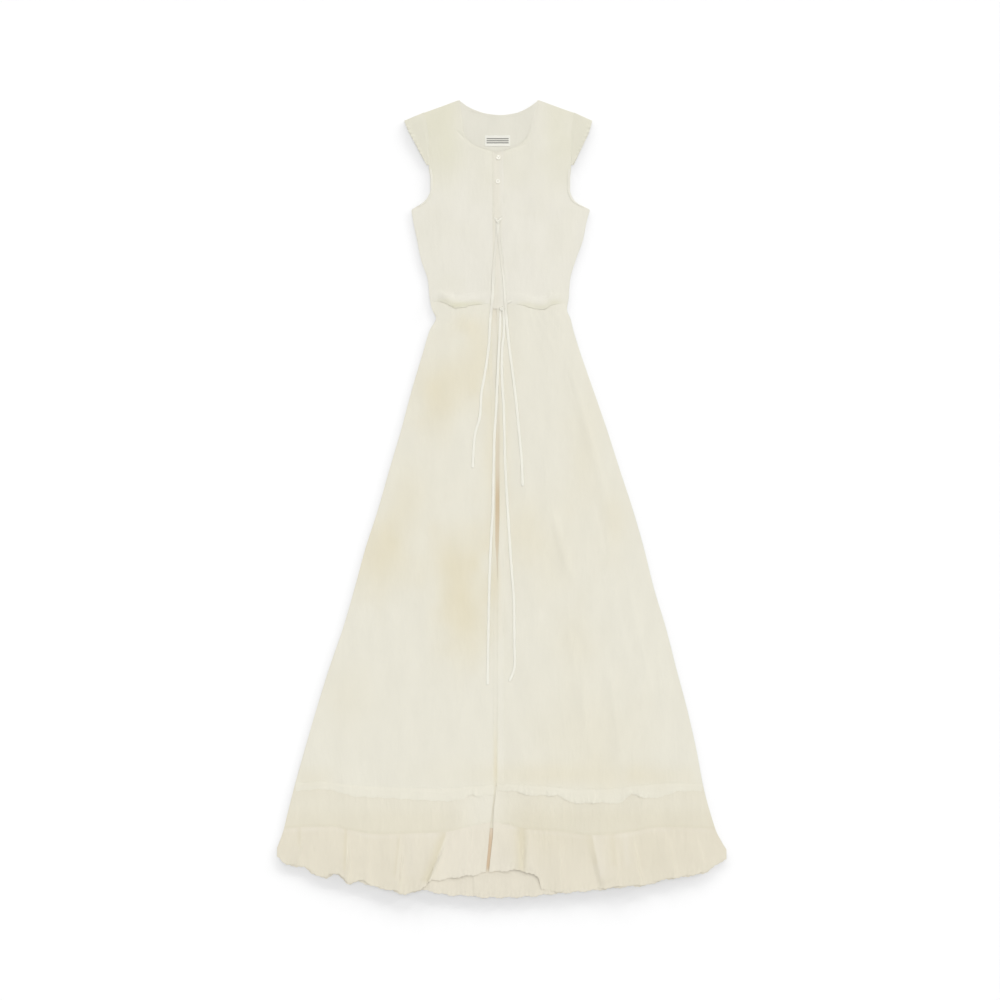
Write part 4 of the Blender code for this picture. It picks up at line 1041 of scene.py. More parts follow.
@dataclass
class BackPanels:
    """Back bodice, skirt, tier and ruffle, flat on the floor."""

    inset: float = 0.8 * MM
    neck_turning: float = 5 * MM
    relief: float = 0.12 * MM
    wrinkle: Crease = Crease(((-66, 16), (-52, 21), (-40, 24)), 2.5, 3.5, 1.0)
    hem_rise: float = 2.6 * MM
    ruffle_lap: float = -54.4 * MM
    lap_rise: float = 1.3 * MM
    lap_reach: float = 24 * MM
    ruffle_seam: float = -12.4 * MM
    seam_rise: float = 0.45 * MM

    def build(self, shop: Workshop) -> None:
        """Lay the four pieces."""
        self.bodice(shop)
        for node, top, bottom, columns, rows, finish, cut in (
                ("back_skirt", BACK_WAIST, BACK_TIER_SEAM, 130, 130, BACK_IVORY, Cut(0.82, 0.96)),
                ("back_tier", BACK_TIER_SEAM, BACK_RUFFLE_SEAM, 120, 12, TIER_IVORY, Cut(0.86, 0.09))):
            _, _, down, x = self.grid(columns, rows, top + GAP, bottom)
            z = BACK_BASE + self.relief * (1 + SOFT_CRINKLE(x, down))
            shop.sew(node, to_world(x, down, z), CLOTH, finish, inside_shade)
        self.ruffle(shop)

    def grid(self, columns: int, rows: int, top: float, low: float) -> tuple[Array, Array, Array, Array]:
        """Grid between the side seams.

        Args:
            columns: Divisions across.
            rows: Divisions along.
            top: Depth of the first row.
            low: Depth of the last row.

        Returns:
            Shares across and along, depth and x.
        """
        u, v = np.meshgrid(steps(columns), steps(rows))
        row = mix(top, low, v)
        return u, v, row, mix(body_edge(-1, row) + self.inset, body_edge(1, row) - self.inset, u)

    def bodice(self, shop: Workshop) -> None:
        """Back bodice, with its turned neck edge and a wrinkle below it."""
        tips = (-ARMHOLES[0].left * MM, ARMHOLES[0].right * MM)
        ends = (BACK_NECK[0].x * MM, BACK_NECK[-1].x * MM)
        u, v = np.meshgrid(steps(110), np.concatenate([steps(40) * 0.3, 0.3 + 0.7 * steps(40)[1:]]))
        edge_down = mix(SHOULDER_DROP, BACK_WAIST, v)
        x = mix(body_edge(-1, edge_down), body_edge(1, edge_down), u)
        top_x = mix(*tips, u)
        slope = np.where(top_x < 0, (ends[0] - top_x) / (ends[0] - tips[0]), (top_x - ends[1]) / (tips[1] - ends[1]))
        in_neck = (top_x > ends[0]) & (top_x < ends[1])
        top = np.where(in_neck, Line(BACK_NECK)(top_x), SHOULDER_DROP * np.maximum(slope, 0))
        down = mix(top, BACK_WAIST, v)
        z = BACK_BASE + self.relief * (1 + SOFT_CRINKLE(x, down)) + crease_height(self.wrinkle, x, down)
        thickness = turned_edge(down - top, self.neck_turning)
        shop.sew("back_bodice", to_world(x, down, z), thickness, INSIDE_IVORY)

    def ruffle(self, shop: Workshop) -> None:
        """Back ruffle: a lap and a seam show where the fronts part, and its hem is waved."""
        _, v, _, x = self.grid(420, 26, BACK_RUFFLE_SEAM + GAP, SIDES[-1].down * MM)
        down = mix(BACK_RUFFLE_SEAM + GAP, BACK_HEM_LINE(x) + hem_reach(x + 10 * MM), v)
        fall = ease((v - 0.75) / 0.25)
        z = BACK_BASE + self.relief * (1 + FINE_CRINKLE(x, down)) + self.hem_rise * rise(down, 1506, 36)
        z = z + 0.5 * MM * fall * (1 + wave(x, HEM_WAVE, 2.0)) + 0.25 * MM * fall * (1 + wave(x, 9 * MM))
        past = x - self.ruffle_lap
        lap = np.exp(-np.maximum(past, 0.0) / self.lap_reach) * ease(past / (2.4 * MM) + 1)
        z = z + self.lap_rise * lap * ease(v / 0.4) + self.seam_rise * bell(x - self.ruffle_seam, 1.4 * MM)
        shop.sew("back_ruffle", to_world(x, down, z), CLOTH, BACK_RUFFLE_IVORY, inside_shade)


@dataclass
class FrontSkirt:
    """Two front skirt halves, open along the centre front."""

    columns: int = 110
    edge_columns: int = 20  # in the last tenth, beside the opening
    rows: int = 200
    edge_turning: float = 7 * MM

    def build(self, shop: Workshop) -> None:
        """Lay both halves."""
        across = np.concatenate([0.9 * steps(self.columns), 0.9 + 0.1 * steps(self.edge_columns)[1:]])
        for half in HALVES:
            _, v, row, x = half.grid(across, steps(self.rows), WAIST_TOP, TIER_ROW)
            down = mix(WAIST_LINE(x) - LIP_OVERLAP, half.tier(x) - GAP, v)
            turned = turned_edge(np.abs(x - half.opening(row)), self.edge_turning)
            shift, up = lap_shift(half, x, down)
            middle = to_world(x + shift, down, front_height(x, down) + up)
            shop.sew(f"front_skirt_{half.word}", middle, turned if half is LEFT else CLOTH, IVORY)


@dataclass
class Tiers:
    """Plain tiers between the skirt and the ruffle, with faint gathers from the frill."""

    columns: int = 200
    rows: int = 34
    gathering: float = 0.2 * MM

    def build(self, shop: Workshop) -> None:
        """Lay both tiers."""
        for half in HALVES:
            _, v, _, x = half.grid(steps(self.columns), steps(self.rows), TIER_ROW, RUFFLE_ROW)
            down = mix(half.tier(x), half.ruffle(x) - 0.05 * MM, v)
            z = front_height(x, down) + self.gathering * GATHER_NOISE(x, down) * (1 - ease((v - 0.9) / 0.1))
            shop.sew(f"front_tier_{half.word}", to_world(x, down, z), CLOTH, TIER_IVORY,
                     tier_shade)


@dataclass
class Ruffles:
    """Gathered ruffles with leaning pleats and a rolled, waved hem."""

    columns: int = 300
    rows: int = 44
    gathering: float = 0.4 * MM

    def build(self, shop: Workshop) -> None:
        """Lay both ruffles."""
        for half in HALVES:
            _, v, _, x = half.grid(steps(self.columns), steps(self.rows), RUFFLE_ROW, HEM_ROW)
            down = mix(half.ruffle(x), half.hem(x) + hem_reach(x), v)
            z, lean = self.relief(half, x, v)
            middle = to_world(x + lean, down, z + front_height(x, down))
            shop.sew(f"front_ruffle_{half.word}", middle, CLOTH, RUFFLE_IVORY,
                     ruffle_shade)

    def relief(self, half: Half, x: Array, fall: Array) -> tuple[Array, Array]:
        """Height of the pleats, gathers and waves, and how far they lean across.

        Args:
            half: The half that the ruffle belongs to.
            x: Places across.
            fall: 0 at the seam to 1 at the hem.

        Returns:
            Height and sideways shift of each point.
        """
        height, lean = np.zeros_like(x), np.zeros_like(x)
        inside = ease(1.02 - np.abs(x / body_edge(half.side, np.full_like(x, HEM_ROW)))) ** 0.2
        for pleat in PLEATS:
            if pleat.top_x * half.side < 0:
                continue
            toward = math.copysign(1.0, pleat.steep)
            offset = (x - mix(pleat.top_x, pleat.low_x, fall) * MM) * toward
            crest = pleat.height * MM * ease(fall / 0.55) * (1 - 0.45 * ease((fall - 0.8) / 0.2))
            steep = 1 - ease(offset / (abs(pleat.steep) * MM))
            shape = np.where(offset < 0, bell(offset, pleat.soft * MM), steep)
            height = height + crest * shape
            lean = lean + toward * crest * shape ** 2 * pleat.lean
        small = self.gathering * GATHER_NOISE(x, fall * 0.09) * ease(fall / 0.08) * (1 - ease((fall - 0.1) / 0.7))
        waves = 1.0 * MM * (0.5 + 0.5 * wave(x, HEM_WAVE)) + 0.3 * MM * (0.5 + 0.5 * wave(x, HEM_RIPPLE, 0.7))
        return height * inside + small + ease((fall - 0.72) / 0.28) * waves, lean * inside


@dataclass
class Bodice:
    """Front bodice halves, whose lower edge blouses over the drawn waist and curls under."""

    columns: int = 74
    rows: tuple[int, int, int] = (40, 76, 34)  # beside the neck, below it, and towards the waist
    curl: int = 9
    turned_back: tuple[float, ...] = (2 * MM, 5 * MM, 9 * MM)

    def build(self, shop: Workshop) -> None:
        """Lay both halves."""
        neck, below, low = (steps(count) for count in self.rows)
        levels = np.concatenate([NECK_BOTTOM * neck, mix(NECK_BOTTOM, BODICE_FREE, below[1:]),
                                 mix(BODICE_FREE, WAIST_MEAN, low[1:])])
        for half in HALVES:
            u, level = np.meshgrid(steps(self.columns), levels)
            x, down = self.place(half, u, level)
            away = self.neck_distance(half, x, level)
            z = blouse_height(x, down) - 0.55 * MM * (1 - ease(away / (9 * MM)))
            middle = np.concatenate([to_world(x, down, z), self.lip(x[-1], down[-1], z[-1])])
            added = ((0, len(middle) - len(x)), (0, 0))
            away, above = np.pad(away, added, constant_values=1.0), np.pad(WAIST_LINE(x) - down, added)
            smooth_edge = (1 - LIP_LINE(middle[..., 0] + CENTRE_X)) * (1 - ease(above / (12 * MM)))
            thin = 1 - 0.5 * smooth_edge - 0.45 * (1 - ease(away / (4 * MM)))
            node = f"front_bodice_{half.word}"
            shop.sew(node, middle, CLOTH * thin, BODICE_IVORY, shoulder_shade)

    @staticmethod
    def place(half: Half, u: Array, level: Array) -> tuple[Array, Array]:
        """x and depth of the grid: armhole and side seam outside, neckline and placket edge inside.

        Args:
            half: The half.
            u: 0 at the outer edge to 1 at the inner one.
            level: Depth at the inner edge.

        Returns:
            x and depth.
        """
        inner = PLACKET[0 if half is LEFT else 1] + GAP
        drop = SHOULDER_DROP * (1 - np.minimum(level / SHOULDER_FADE, 1.0))
        edge = np.where(level < NECK_BOTTOM, half.side * half.neck(level), inner)
        x = mix(body_edge(half.side, level + drop), edge, u)
        stretch = ease((level - BLOUSE_TOP) / (WAIST_MEAN - BLOUSE_TOP))
        return x, level + drop * (1 - u) + (WAIST_LINE(x) - WAIST_MEAN) * stretch

    @staticmethod
    def neck_distance(half: Half, x: Array, level: Array) -> Array:
        """Rough distance from the front neckline."""
        across = np.abs(x - half.side * half.neck(level))
        beside = np.maximum(np.abs(x) - half.neck(NECK_BOTTOM), 0)
        return np.where(level < NECK_BOTTOM, across * 0.8, np.hypot(beside, np.maximum(level - NECK_BOTTOM, 0)))

    def lip(self, x: Array, down: Array, z: Array) -> Array:
        """Rows that roll the lower edge under and back up."""
        radius = (0.12 + 1.1 * LIP_LINE(x)) * MM
        turns = [math.pi * k / self.curl for k in range(1, self.curl + 1)]
        rows = [to_world(x, down + radius * math.sin(turn), z - radius * (1 - math.cos(turn))) for turn in turns]
        return np.stack(rows + [to_world(x, down - back, z - 2 * radius - back * 0.02) for back in self.turned_back])


@dataclass
class Placket:
    """Doubled button band down the bodice's centre front."""

    columns: int = 26
    rows: int = 150
    dip: float = 1.2 * MM  # how much lower its top is in the middle
    slant: float = 1.5 * MM  # how much lower its end is on the right
    notch: Triple = (-11.5 * MM, 2.2 * MM, 4.5 * MM)  # x, width and depth
    groove: Triple = (2.4 * MM, 0.7 * MM, 0.12 * MM)  # the same, from its left edge

    def build(self, shop: Workshop) -> None:
        """Lay the band."""
        u, v = np.meshgrid(steps(self.columns), steps(self.rows))
        x = mix(PLACKET[0], PLACKET[1] + 1.0 * MM, u)
        down = mix(NECK_BOTTOM + self.dip * (1 - np.abs(2 * u - 1)), PLACKET_END + self.slant * u, v)
        at, wide, deep = self.notch
        down = down + deep * bell(x - at, wide) * (1 - ease(v / 0.06))
        from_left = u * (PLACKET[1] - PLACKET[0])
        rounded = np.sqrt(np.clip(from_left / (1.2 * MM), 0.2, 1.0))
        at, wide, deep = self.groove
        z = blouse_height(x, down) + PLACKET_RISE(down) * (1 - ease(u)) - deep * bell(from_left - at, wide)
        shop.sew("placket", to_world(x, down, z), CLOTH * rounded, PLACKET_IVORY,
                 placket_shade)


@dataclass
class Caps:
    """Cap sleeves, folded over the shoulder, and the bindings of the armholes below them."""

    columns: int = 34
    rows: int = 70
    binding: float = 5 * MM
    binding_ends: tuple[float, float] = (124 * MM, 207 * MM)
    scallop: tuple[float, float] = (4.3 * MM, 0.7 * MM)  # length and reach
    flute: tuple[float, float] = (8.6 * MM, 0.5 * MM)  # length and height
    fold_reach: float = 0.7 * MM  # of the fold over the shoulder

    def build(self, shop: Workshop) -> None:
        """Lay both caps and both bindings."""
        for half in HALVES:
            self.cap(shop, half)
            self.bind(shop, half)

    def cap(self, shop: Workshop, half: Half) -> None:
        """One cap: its front layer, the fold over the shoulder and its back layer."""
        low_seam = CAP_EDGES[-1].down * MM
        v = np.concatenate([1 - steps(self.rows), [0, 0], steps(self.rows)])
        layer = np.concatenate([np.ones(self.rows + 1), [0.75, 0.25], np.zeros(self.rows + 1)])
        u, v = np.meshgrid(steps(self.columns), v)
        layer = np.broadcast_to(layer[:, None], u.shape)
        inner_down, outer_down = mix(SHOULDER_DROP, low_seam, v), mix(CAP_EDGES[0].down * MM, low_seam, v)
        reach = self.scallop[1] * np.sin(2 * math.pi * outer_down / self.scallop[0]) * ease((u - 0.85) / 0.15)
        x = half.side * (mix(half.armhole(inner_down) - 0.4 * MM, half.cap(outer_down), u) + reach)
        shoulder = (layer > 0) & (layer < 1)
        down = mix(inner_down, outer_down, u) - self.fold_reach * shoulder
        below = np.minimum(v * 8, 1)
        fluted = self.flute[1] * (1 + np.sin(2 * math.pi * outer_down / self.flute[0])) * ease((u - 0.7) / 0.3)
        fluted = fluted * np.where(layer == 1, below, 0)
        soft = 0.4 * MM * (1 + SOFT_CRINKLE(x, down)) * (layer == 1)
        z = mix(BACK_BASE, front_height(x, down), layer) + (fluted + soft) * below * ease(u * 4)
        shop.sew(f"cap_sleeve_{half.word}", to_world(x, down, z), CLOTH, CAP_IVORY,
                 carries=False)

    def bind(self, shop: Workshop, half: Half) -> None:
        """One binding, raised and rounded, along the armhole's front edge."""
        u, level = np.meshgrid(steps(10), mix(*self.binding_ends, steps(70)))
        x, down = Bodice.place(half, np.zeros_like(u), level)
        x = x - half.side * mix(0.2 * MM, self.binding, u)
        z = blouse_height(x, down) + CLOTH + 0.35 * MM * np.sin(math.pi * u)
        shop.sew(f"armhole_binding_{half.word}", to_world(x, down, z), CLOTH, EDGING_IVORY,
                 carries=False)


@dataclass
class Frills:
    """Narrow frill over the top of each tier, its lower edge lifted here and there."""

    columns: int = 300
    rows: int = 18
    thickness: float = 0.5 * MM
    wave: float = 29 * MM
    ripple: float = 11 * MM

    def build(self, shop: Workshop) -> None:
        """Lay both frills."""
        for half in HALVES:
            across = mix(0.004, 0.996, steps(self.columns))
            _, v, _, x = half.grid(across, steps(self.rows), TIER_ROW, TIER_ROW)
            broad, small = wave(x, self.wave), wave(x, self.ripple, 0.4)
            low = half.frill(x) + 0.8 * MM * broad + 0.4 * MM * small
            down = mix(half.tier(x) - FRILL_OVERLAP, low, v)
            fall = ease(v)
            lift = 0.12 * MM + FRILL_LIFT_LINE(x) * (1.2 + 0.5 * broad + 0.4 * small) * MM
            stand = mix(0.05 * MM, 0.6 * MM, ease(v / 0.45))
            z = front_height(x, down) + stand + lift * fall + 0.12 * MM * GATHER_NOISE(x, down) * fall
            thickness = self.thickness * (1 - 0.5 * ease((v - 0.8) / 0.2) - 0.4 * (1 - ease(v / 0.2)))
            shop.sew(f"frill_{half.word}", to_world(x, down, z), thickness, FRILL_IVORY)


@dataclass
class EdgeBand:
    """Turned band along the right front's opening."""

    top: float = 412 * MM
    bottom: float = 1324 * MM

    def build(self, shop: Workshop) -> None:
        """Lay the band."""
        u, v = np.meshgrid(steps(12), steps(260))
        down = mix(self.top, self.bottom, v)
        x = RIGHT.opening(down) + mix(*BAND, u)
        from_edge = np.minimum(u, 1 - u) * (BAND[1] - BAND[0])
        rounded = np.sqrt(np.clip(from_edge / (2.5 * MM), 0.08, 1.0))
        z = front_height(x, down) + lap_shift(RIGHT, x, down)[1] + 0.5 * CLOTH
        shop.sew("front_edge_band", to_world(x, down, z), 0.7 * CLOTH * rounded, BAND_IVORY)


@dataclass
class NeckLabel:
    """Bare woven label inside the back neck."""

    thickness: float = 0.5 * MM
    lift: float = 0.55 * MM

    def build(self, shop: Workshop) -> None:
        """Lay the label."""
        left, right, top, bottom = LABEL
        u, v = np.meshgrid(steps(40), steps(88))
        x, down = mix(left, right, u), mix(top, bottom, v)
        rim = np.minimum(np.minimum(x - left, right - x), np.minimum(down - top, bottom - down))
        z = BACK_BASE + CLOTH / 2 + self.lift + 0.15 * MM * bell(rim - 1.6 * MM, 0.6 * MM)
        shop.sew("neck_label", to_world(x, down, z), self.thickness, LABEL_WHITE,
                 label_stripes)


@dataclass
class Buttons:
    """Two small round buttons with a raised rim, four holes and crossed thread."""

    radius: float = 4.3 * MM
    height: float = 1.8 * MM
    hole: float = 0.55 * MM
    hole_reach: float = 1.25 * MM
    bowl: float = 0.66  # height of the button's middle, as a share
    # Distance from the axis and height, as shares of the radius and the height
    profile: Rows = ((0, 0), (0.72, 0), (0.94, 0.2), (1, 0.5), (0.96, 0.85), (0.86, 1), (0.76, 0.93), (0.66, 0.74),
                     (0.3, 0.66), (0, 0.66))

    def build(self, shop: Workshop) -> None:
        """Set both buttons on the placket."""
        for i, centre in enumerate(BUTTONS):
            x, down = centre.x * MM, centre.down * MM
            base = Vector((x - CENTRE_X, LENGTH / 2 - down, shop.top(x, down) + 0.3 * MM))
            name = f"button_{i + 1}"
            shop.fit(self.disc(name + "_shell", base), BUTTON_SHELL, Slot.BUTTONS, name)
            shop.fit(self.thread(name + "_thread", base), THREAD, Slot.TIES)

    def disc(self, name: str, base: Vector) -> bpy.types.Object:
        """Turned disc with its holes cut through.

        Args:
            name: Name of the object.
            base: Middle of its underside.

        Returns:
            The linked object.
        """
        shape = bmesh.new()
        line = [shape.verts.new((x * self.radius, 0.0, z * self.height)) for x, z in self.profile]
        edges = [shape.edges.new(pair) for pair in zip(line, line[1:])]
        bmesh.ops.spin(shape, geom=line + edges, axis=(0, 0, 1), cent=(0, 0, 0), angle=2 * math.pi, steps=40)
        bmesh.ops.remove_doubles(shape, verts=shape.verts, dist=0.01 * MM)
        bmesh.ops.recalc_face_normals(shape, faces=shape.faces)
        bmesh.ops.translate(shape, verts=shape.verts, vec=base)
        disc = finished(name, shape)
        drill = bmesh.new()
        for dx, dy in ((1, 1), (1, -1), (-1, 1), (-1, -1)):
            made = bmesh.ops.create_cone(drill, cap_ends=True, segments=14, radius1=self.hole, radius2=self.hole,
                                         depth=3 * self.height)
            offset = Vector((dx * self.hole_reach, dy * self.hole_reach, self.height / 2))
            bmesh.ops.translate(drill, verts=made["verts"], vec=base + offset)
        cutter = finished(name + "_drill", drill)
        cut = disc.modifiers.new("holes", "BOOLEAN")
        cut.operation, cut.solver, cut.object = "DIFFERENCE", "EXACT", cutter
        drilled = plain_mesh(disc)
        disc.modifiers.clear()
        disc.data = drilled
        bpy.data.objects.remove(cutter)
        smoothed(disc.data, 50)
        return disc

    def thread(self, name: str, base: Vector) -> bpy.types.Object:
        """Two crossed stitches through the holes.

        Args:
            name: Name of the object.
            base: Middle of the button's underside.

        Returns:
            The linked object.
        """
        shape = bmesh.new()
        for k, turn in enumerate((1, -1)):
            path = []
            for t in 2 * steps(8) - 1:
                stand = self.height * self.bowl + (0.30 + 0.25 * k) * MM * (1 - t * t) - 0.15 * MM * (abs(t) > 0.9)
                path.append(base + Vector((self.hole_reach * t, turn * self.hole_reach * t, stand)))
            tube(shape, np.array([list(p) for p in path]), 0.32 * MM, 0.32 * MM, 8)
        return finished(name, shape)


@dataclass
class Ties:
    """Four flat, soft ends of two drawstrings, and the knots that they hang from."""

    step: float = 1.8 * MM
    lift: float = 0.05 * MM
    near: int = 3  # places on each side that a tie's height is smoothed over
    knot_size: Triple = (3.2 * MM, 2.8 * MM, 0.8 * MM)
    knot_strand: tuple[float, float] = (1.3 * MM, 0.8 * MM)

    def build(self, shop: Workshop) -> None:
        """Lay the ties in order, lowest first, and tie the knots."""
        for string, end, route, length in (
                ("waist", "left", WAIST_LEFT, 0.79), ("waist", "right", WAIST_RIGHT, 0.78),
                ("bust", "left", BUST_LEFT, 0.51), ("bust", "right", BUST_RIGHT, 0.54)):
            self.tie(shop, f"{string}_tie_{end}", f"{string}_cord_{end}", route)
        for name, knot in (("waist_knot", WAIST_KNOT), ("bust_knot", BUST_KNOT)):
            self.knot(shop, name, knot)

    def tie(self, shop: Workshop, name: str, cord: str, route: Rows) -> None:
        """One tie, from where it leaves the cloth, through its knot, to its free end.

        Args:
            shop: Finishes and pile.
            name: Node of the free end.
            cord: Node of the stretch before the knot.
            route: Points that it passes, x and depth in millimetres.
        """
        flat = smooth_route(np.array(route, float) * MM, self.step)
        reach, window = TIE_WIDTH / 2, 2 * self.near + 1
        tops = np.array([max(shop.top(x + dx, d) for dx in (-reach, 0, reach)) for x, d in flat])
        padded = np.pad(tops, self.near, mode="edge")
        highest = np.array([padded[i:i + window].max() for i in range(len(tops))])
        level = np.convolve(np.pad(highest, self.near, mode="edge"), np.ones(window) / window, "valid")
        high = TIE_THICKNESS / 2 * (1 - 0.75 * DULL_LINE(flat[:, 1]))
        path = to_world(flat[:, 0], flat[:, 1], np.maximum(level, tops) + self.lift + high)
        half = TIE_WIDTH / 2 * (1.12 - 0.12 * np.sin(np.linspace(0, 1, len(path)) * 47 + 0.6) ** 2)
        half[:4] *= (0.4, 0.6, 0.8, 0.9)
        half[-3:] *= (0.95, 0.85, 0.7)
        shape = bmesh.new()
        tube(shape, path, half, high, 12)
        piece = finished(name, shape, "_cotton")
        set_shade_and_stain(piece.data, DULL_LINE(np.array([LENGTH / 2 - v.co.y for v in piece.data.vertices])))
        shop.fit(piece, TIE_IVORY, Slot.TIES, name, cord)
        LOG.info("%s is %.3f m long", name, np.linalg.norm(np.diff(path, axis=0), axis=1).sum())
        shop.pile(piece)

    def knot(self, shop: Workshop, name: str, centre: Knot) -> None:
        """One overhand knot, a small trefoil of the tie pulled tight.

        Args:
            shop: Finishes and pile.
            name: Node that it stands for.
            centre: Where it lies.
        """
        x, down = centre.x * MM, centre.down * MM
        turn = np.linspace(0, 2 * math.pi, 73)
        loop = np.stack([(np.sin(turn) + 2 * np.sin(2 * turn)) / 3, (np.cos(turn) - 2 * np.cos(2 * turn)) / 3,
                         -np.sin(3 * turn)], -1)
        shape = bmesh.new()
        path = loop * np.array(self.knot_size) + to_world(x, down, shop.top(x, down) + 0.3 * MM)
        tube(shape, path, *self.knot_strand, 12)
        shop.fit(finished(name, shape, "_cotton"), TIE_IVORY, Slot.TIES, name)


@dataclass
class Stitching:
    """Rows of small stitches along the bands, the neck, the seams and the label."""

    spacing: float = 3.0 * MM
    long: float = 1.9 * MM
    radius: float = 0.22 * MM
    seed: int = 7
    lift: float = 0.05 * MM
    placket_rows: tuple[float, float] = (-16.4, -0.4)  # x
    opening_rows: tuple[float, float] = (11.2, -6.2)  # beside the right and the left edge
    neck_inset: tuple[float, float] = (3.6, 1.6)  # across and down
    back_neck: tuple[float, float] = (0.97, 4.2)  # share of x, and how far down
    label_inset: float = 1.2

    def build(self, shop: Workshop) -> None:
        """Sew every row, as one piece."""
        curve = bpy.data.curves.new("stitch_rows", "CURVE")
        curve.dimensions = "3D"
        for row in self.rows():
            spline = curve.splines.new("POLY")
            fine = smooth_route(np.array(row, float) * MM, 4 * MM)
            spline.points.add(len(fine) - 1)
            for knot, (x, d) in zip(spline.points, fine):
                knot.co = (x - CENTRE_X, LENGTH / 2 - d, shop.top(x, d) + self.lift, 1.0)
        rail = linked("stitch_rail", curve)
        rail.modifiers.new("stitches", "NODES").node_group = self.node_tree(shop.material(THREAD))
        mesh = plain_mesh(rail)
        mesh.name = "stitches"
        bpy.data.objects.remove(rail)
        shop.fit(linked("stitches_thread", mesh), None, Slot.EDGING)

    def rows(self) -> list[list[tuple[float, float]]]:
        """Routes of the rows, x and depth in millimetres."""
        found = [[(x, d) for d in range(106, 392, 26)] for x in self.placket_rows]
        inset, lower = self.neck_inset
        for half in HALVES:
            found.append([(half.side * (float(half.neck(d * MM)) / MM + inset), d + lower)
                          for d in (6, 20, 34, 50, 62, 72, 80, 87, 92)])
        found.append([(knot.x * self.back_neck[0], knot.down + self.back_neck[1]) for knot in BACK_NECK[1:-1]])
        for half, beside in zip((RIGHT, LEFT), self.opening_rows):
            found.append([(float(half.opening(d * MM)) / MM + beside, d) for d in range(420, 1320, 60)])
        for half, ends in zip(HALVES, ((-396, -16), (-8, 386))):
            for line, shift in ((half.tier, -4.2), (half.ruffle, -2.2)):
                found.append([(x, float(line(x * MM)) / MM + shift) for x in np.linspace(*ends, 40)])
        left, right, top, bottom = (value / MM for value in LABEL)
        for level in (top + self.label_inset, bottom - self.label_inset):
            ends = (left + self.label_inset, 0.5 * (left + right), right - self.label_inset)
            found.append([(x, level) for x in ends])
        return found

    def node_tree(self, thread: bpy.types.Material) -> bpy.types.NodeTree:
        """Geometry Nodes tree that lays stitches along curves.

        Args:
            thread: Material of the thread.

        Returns:
            The tree.
        """
        tree = bpy.data.node_groups.new("stitch_row", "GeometryNodeTree")
        for name, way, kind, value in (
                ("Geometry", "INPUT", "Geometry", None), ("Spacing", "INPUT", "Float", self.spacing),
                ("Stitch Length", "INPUT", "Float", self.long), ("Thread Radius", "INPUT", "Float", self.radius),
                ("Seed", "INPUT", "Int", self.seed), ("Geometry", "OUTPUT", "Geometry", None)):
            socket = tree.interface.new_socket(name, in_out=way, socket_type="NodeSocket" + kind)
            if value is not None:
                socket.default_value = value
        given = tree.nodes.new("NodeGroupInput").outputs
        points = add_node(tree, "GeometryNodeCurveToPoints", mode="LENGTH")
        set_inputs(points, {"Curve": given["Geometry"], "Length": given["Spacing"]})
        stitch = add_node(tree, "GeometryNodeMeshCylinder", {
            "Vertices": 6, "Radius": given["Thread Radius"], "Depth": given["Stitch Length"]})
        spread = add_node(tree, "FunctionNodeRandomValue", {2: 0.85, 3: 1.1, "Seed": given["Seed"]}, data_type="FLOAT")
        laid = add_node(tree, "GeometryNodeInstanceOnPoints", {
            "Points": points.outputs["Points"], "Instance": stitch.outputs["Mesh"],
            "Rotation": points.outputs["Rotation"], "Scale": spread.outputs[1]})
        real = add_node(tree, "GeometryNodeRealizeInstances", {"Geometry": laid.outputs["Instances"]})
        paint = add_node(tree, "GeometryNodeSetMaterial", {"Geometry": real.outputs["Geometry"], "Material": thread})
        add_node(tree, "NodeGroupOutput", {"Geometry": paint.outputs["Geometry"]})
        return tree


class Lit(Enum):
    """What a light falls on."""

    ALL = "all"
    DRESS = "dress"
    FLOOR = "floor"


class Lamp(NamedTuple):
    """Distant soft light, with the angles that it comes from and its apparent width."""

    name: str
    azimuth: float
    elevation: float
    wide: float
    level: float
    lit: Lit


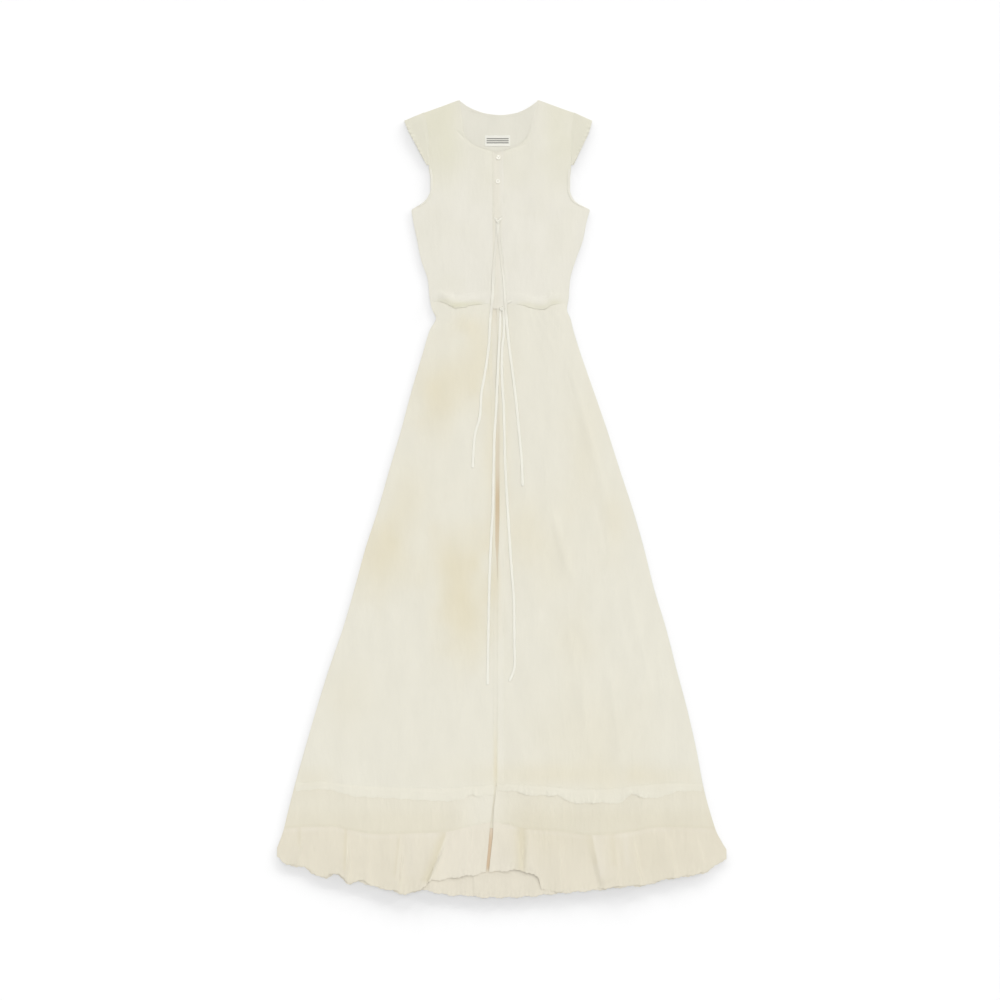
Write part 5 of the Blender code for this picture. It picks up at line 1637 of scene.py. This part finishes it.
@dataclass
class Studio:
    """White floor, soft light from above and a camera that looks straight down."""

    lens: float = 85.0
    sensor: float = 36.0
    camera_rise: float = 3 * MM
    far: float = 50.0
    sky: float = 0.55
    floor_shade: float = 0.843
    floor_reach: float = 6.0
    floor_level: float = -0.2 * MM
    lamps: tuple[Lamp, ...] = (
        Lamp("soft_top", 0.0, 88.0, 60.0, 0.35, Lit.ALL),
        Lamp("soft_key", 35.0, 45.0, 40.0, 0.22, Lit.DRESS),
        Lamp("floor_light_top_left", -22.0, 7.0, 9.0, 0.068, Lit.FLOOR),
        Lamp("floor_light_top", 6.0, 7.0, 9.0, 0.068, Lit.FLOOR),
        Lamp("floor_light_top_right", 34.0, 7.0, 9.0, 0.068, Lit.FLOOR),
        Lamp("floor_light_left", -65.0, 6.0, 8.0, 0.03, Lit.FLOOR),
        Lamp("floor_light_right", 62.0, 6.0, 8.0, 0.07, Lit.FLOOR),
    )

    def build(self) -> None:
        """Set up the floor, the lights and the camera."""
        receivers = {lit: bpy.data.collections.new(f"{lit.value}_lit") for lit in (Lit.DRESS, Lit.FLOOR)}
        for piece in bpy.context.scene.collection.objects:
            if piece.type == "MESH":
                receivers[Lit.DRESS].objects.link(piece)
        floor = self.floor()
        receivers[Lit.FLOOR].objects.link(floor)
        world = bpy.data.worlds.new("studio")
        world.use_nodes = True
        set_inputs(world.node_tree.nodes["Background"], {"Color": (1.0, 1.0, 1.0, 1.0), "Strength": self.sky})
        bpy.context.scene.world = world
        bpy.context.scene.view_settings.view_transform = "Standard"
        for lamp in self.lamps:
            self.hang(lamp, receivers)
        self.camera()

    def hang(self, lamp: Lamp, receivers: dict[Lit, bpy.types.Collection]) -> None:
        """Make one light.

        Args:
            lamp: Its angles, in degrees, azimuth from the neck side and turning right, and its level on the floor.
            receivers: The dress alone and the floor alone, for the lights that fall on one of them.
        """
        light = bpy.data.lights.new(lamp.name, "SUN")
        light.angle = math.radians(lamp.wide)
        light.energy = lamp.level * math.pi / math.sin(math.radians(lamp.elevation))
        piece = linked(lamp.name, light)
        turn, lift = math.radians(lamp.azimuth), math.radians(lamp.elevation)
        source = Vector((math.sin(turn) * math.cos(lift), math.cos(turn) * math.cos(lift), math.sin(lift)))
        piece.rotation_mode = "QUATERNION"
        piece.rotation_quaternion = (-source).to_track_quat("-Z", "Y")
        if lamp.lit in receivers:
            piece.light_linking.receiver_collection = receivers[lamp.lit]

    def floor(self) -> bpy.types.Object:
        """Wide white floor just under the dress."""
        mesh = bpy.data.meshes.new("floor")
        corners = ((-1, -1), (1, -1), (1, 1), (-1, 1))
        points = [(x * self.floor_reach, y * self.floor_reach, self.floor_level) for x, y in corners]
        mesh.from_pydata(points, [], [(0, 1, 2, 3)])
        paint, _, shader = new_material("white_floor")
        set_inputs(shader, {"Base Color": (*[self.floor_shade] * 3, 1.0), "Roughness": 1.0, "Specular IOR Level": 0.0})
        mesh.materials.append(paint)
        return linked("floor", mesh)

    def camera(self) -> None:
        """Camera straight above, framed as the photo is."""
        data = bpy.data.cameras.new("camera")
        data.lens, data.sensor_width, data.clip_end = self.lens, self.sensor, self.far
        camera = linked("camera", data)
        camera.location = (*PHOTO_CENTRE, PHOTO_WIDTH * self.lens / self.sensor + self.camera_rise)
        bpy.context.scene.camera = camera


def main() -> None:
    """Build the dress, the floor, the lights and the camera."""
    logging.basicConfig(level=logging.INFO, format="%(message)s")
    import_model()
    shop = Workshop()
    for part in (BackPanels(), FrontSkirt(), Tiers(), Ruffles(), Bodice(), Placket(), Caps(), Frills(),
                 EdgeBand(), NeckLabel(), Buttons(), Ties(), Stitching()):
        part.build(shop)
        LOG.info("%s built", type(part).__name__)
    Studio().build()


if __name__ == "__main__":
    main()
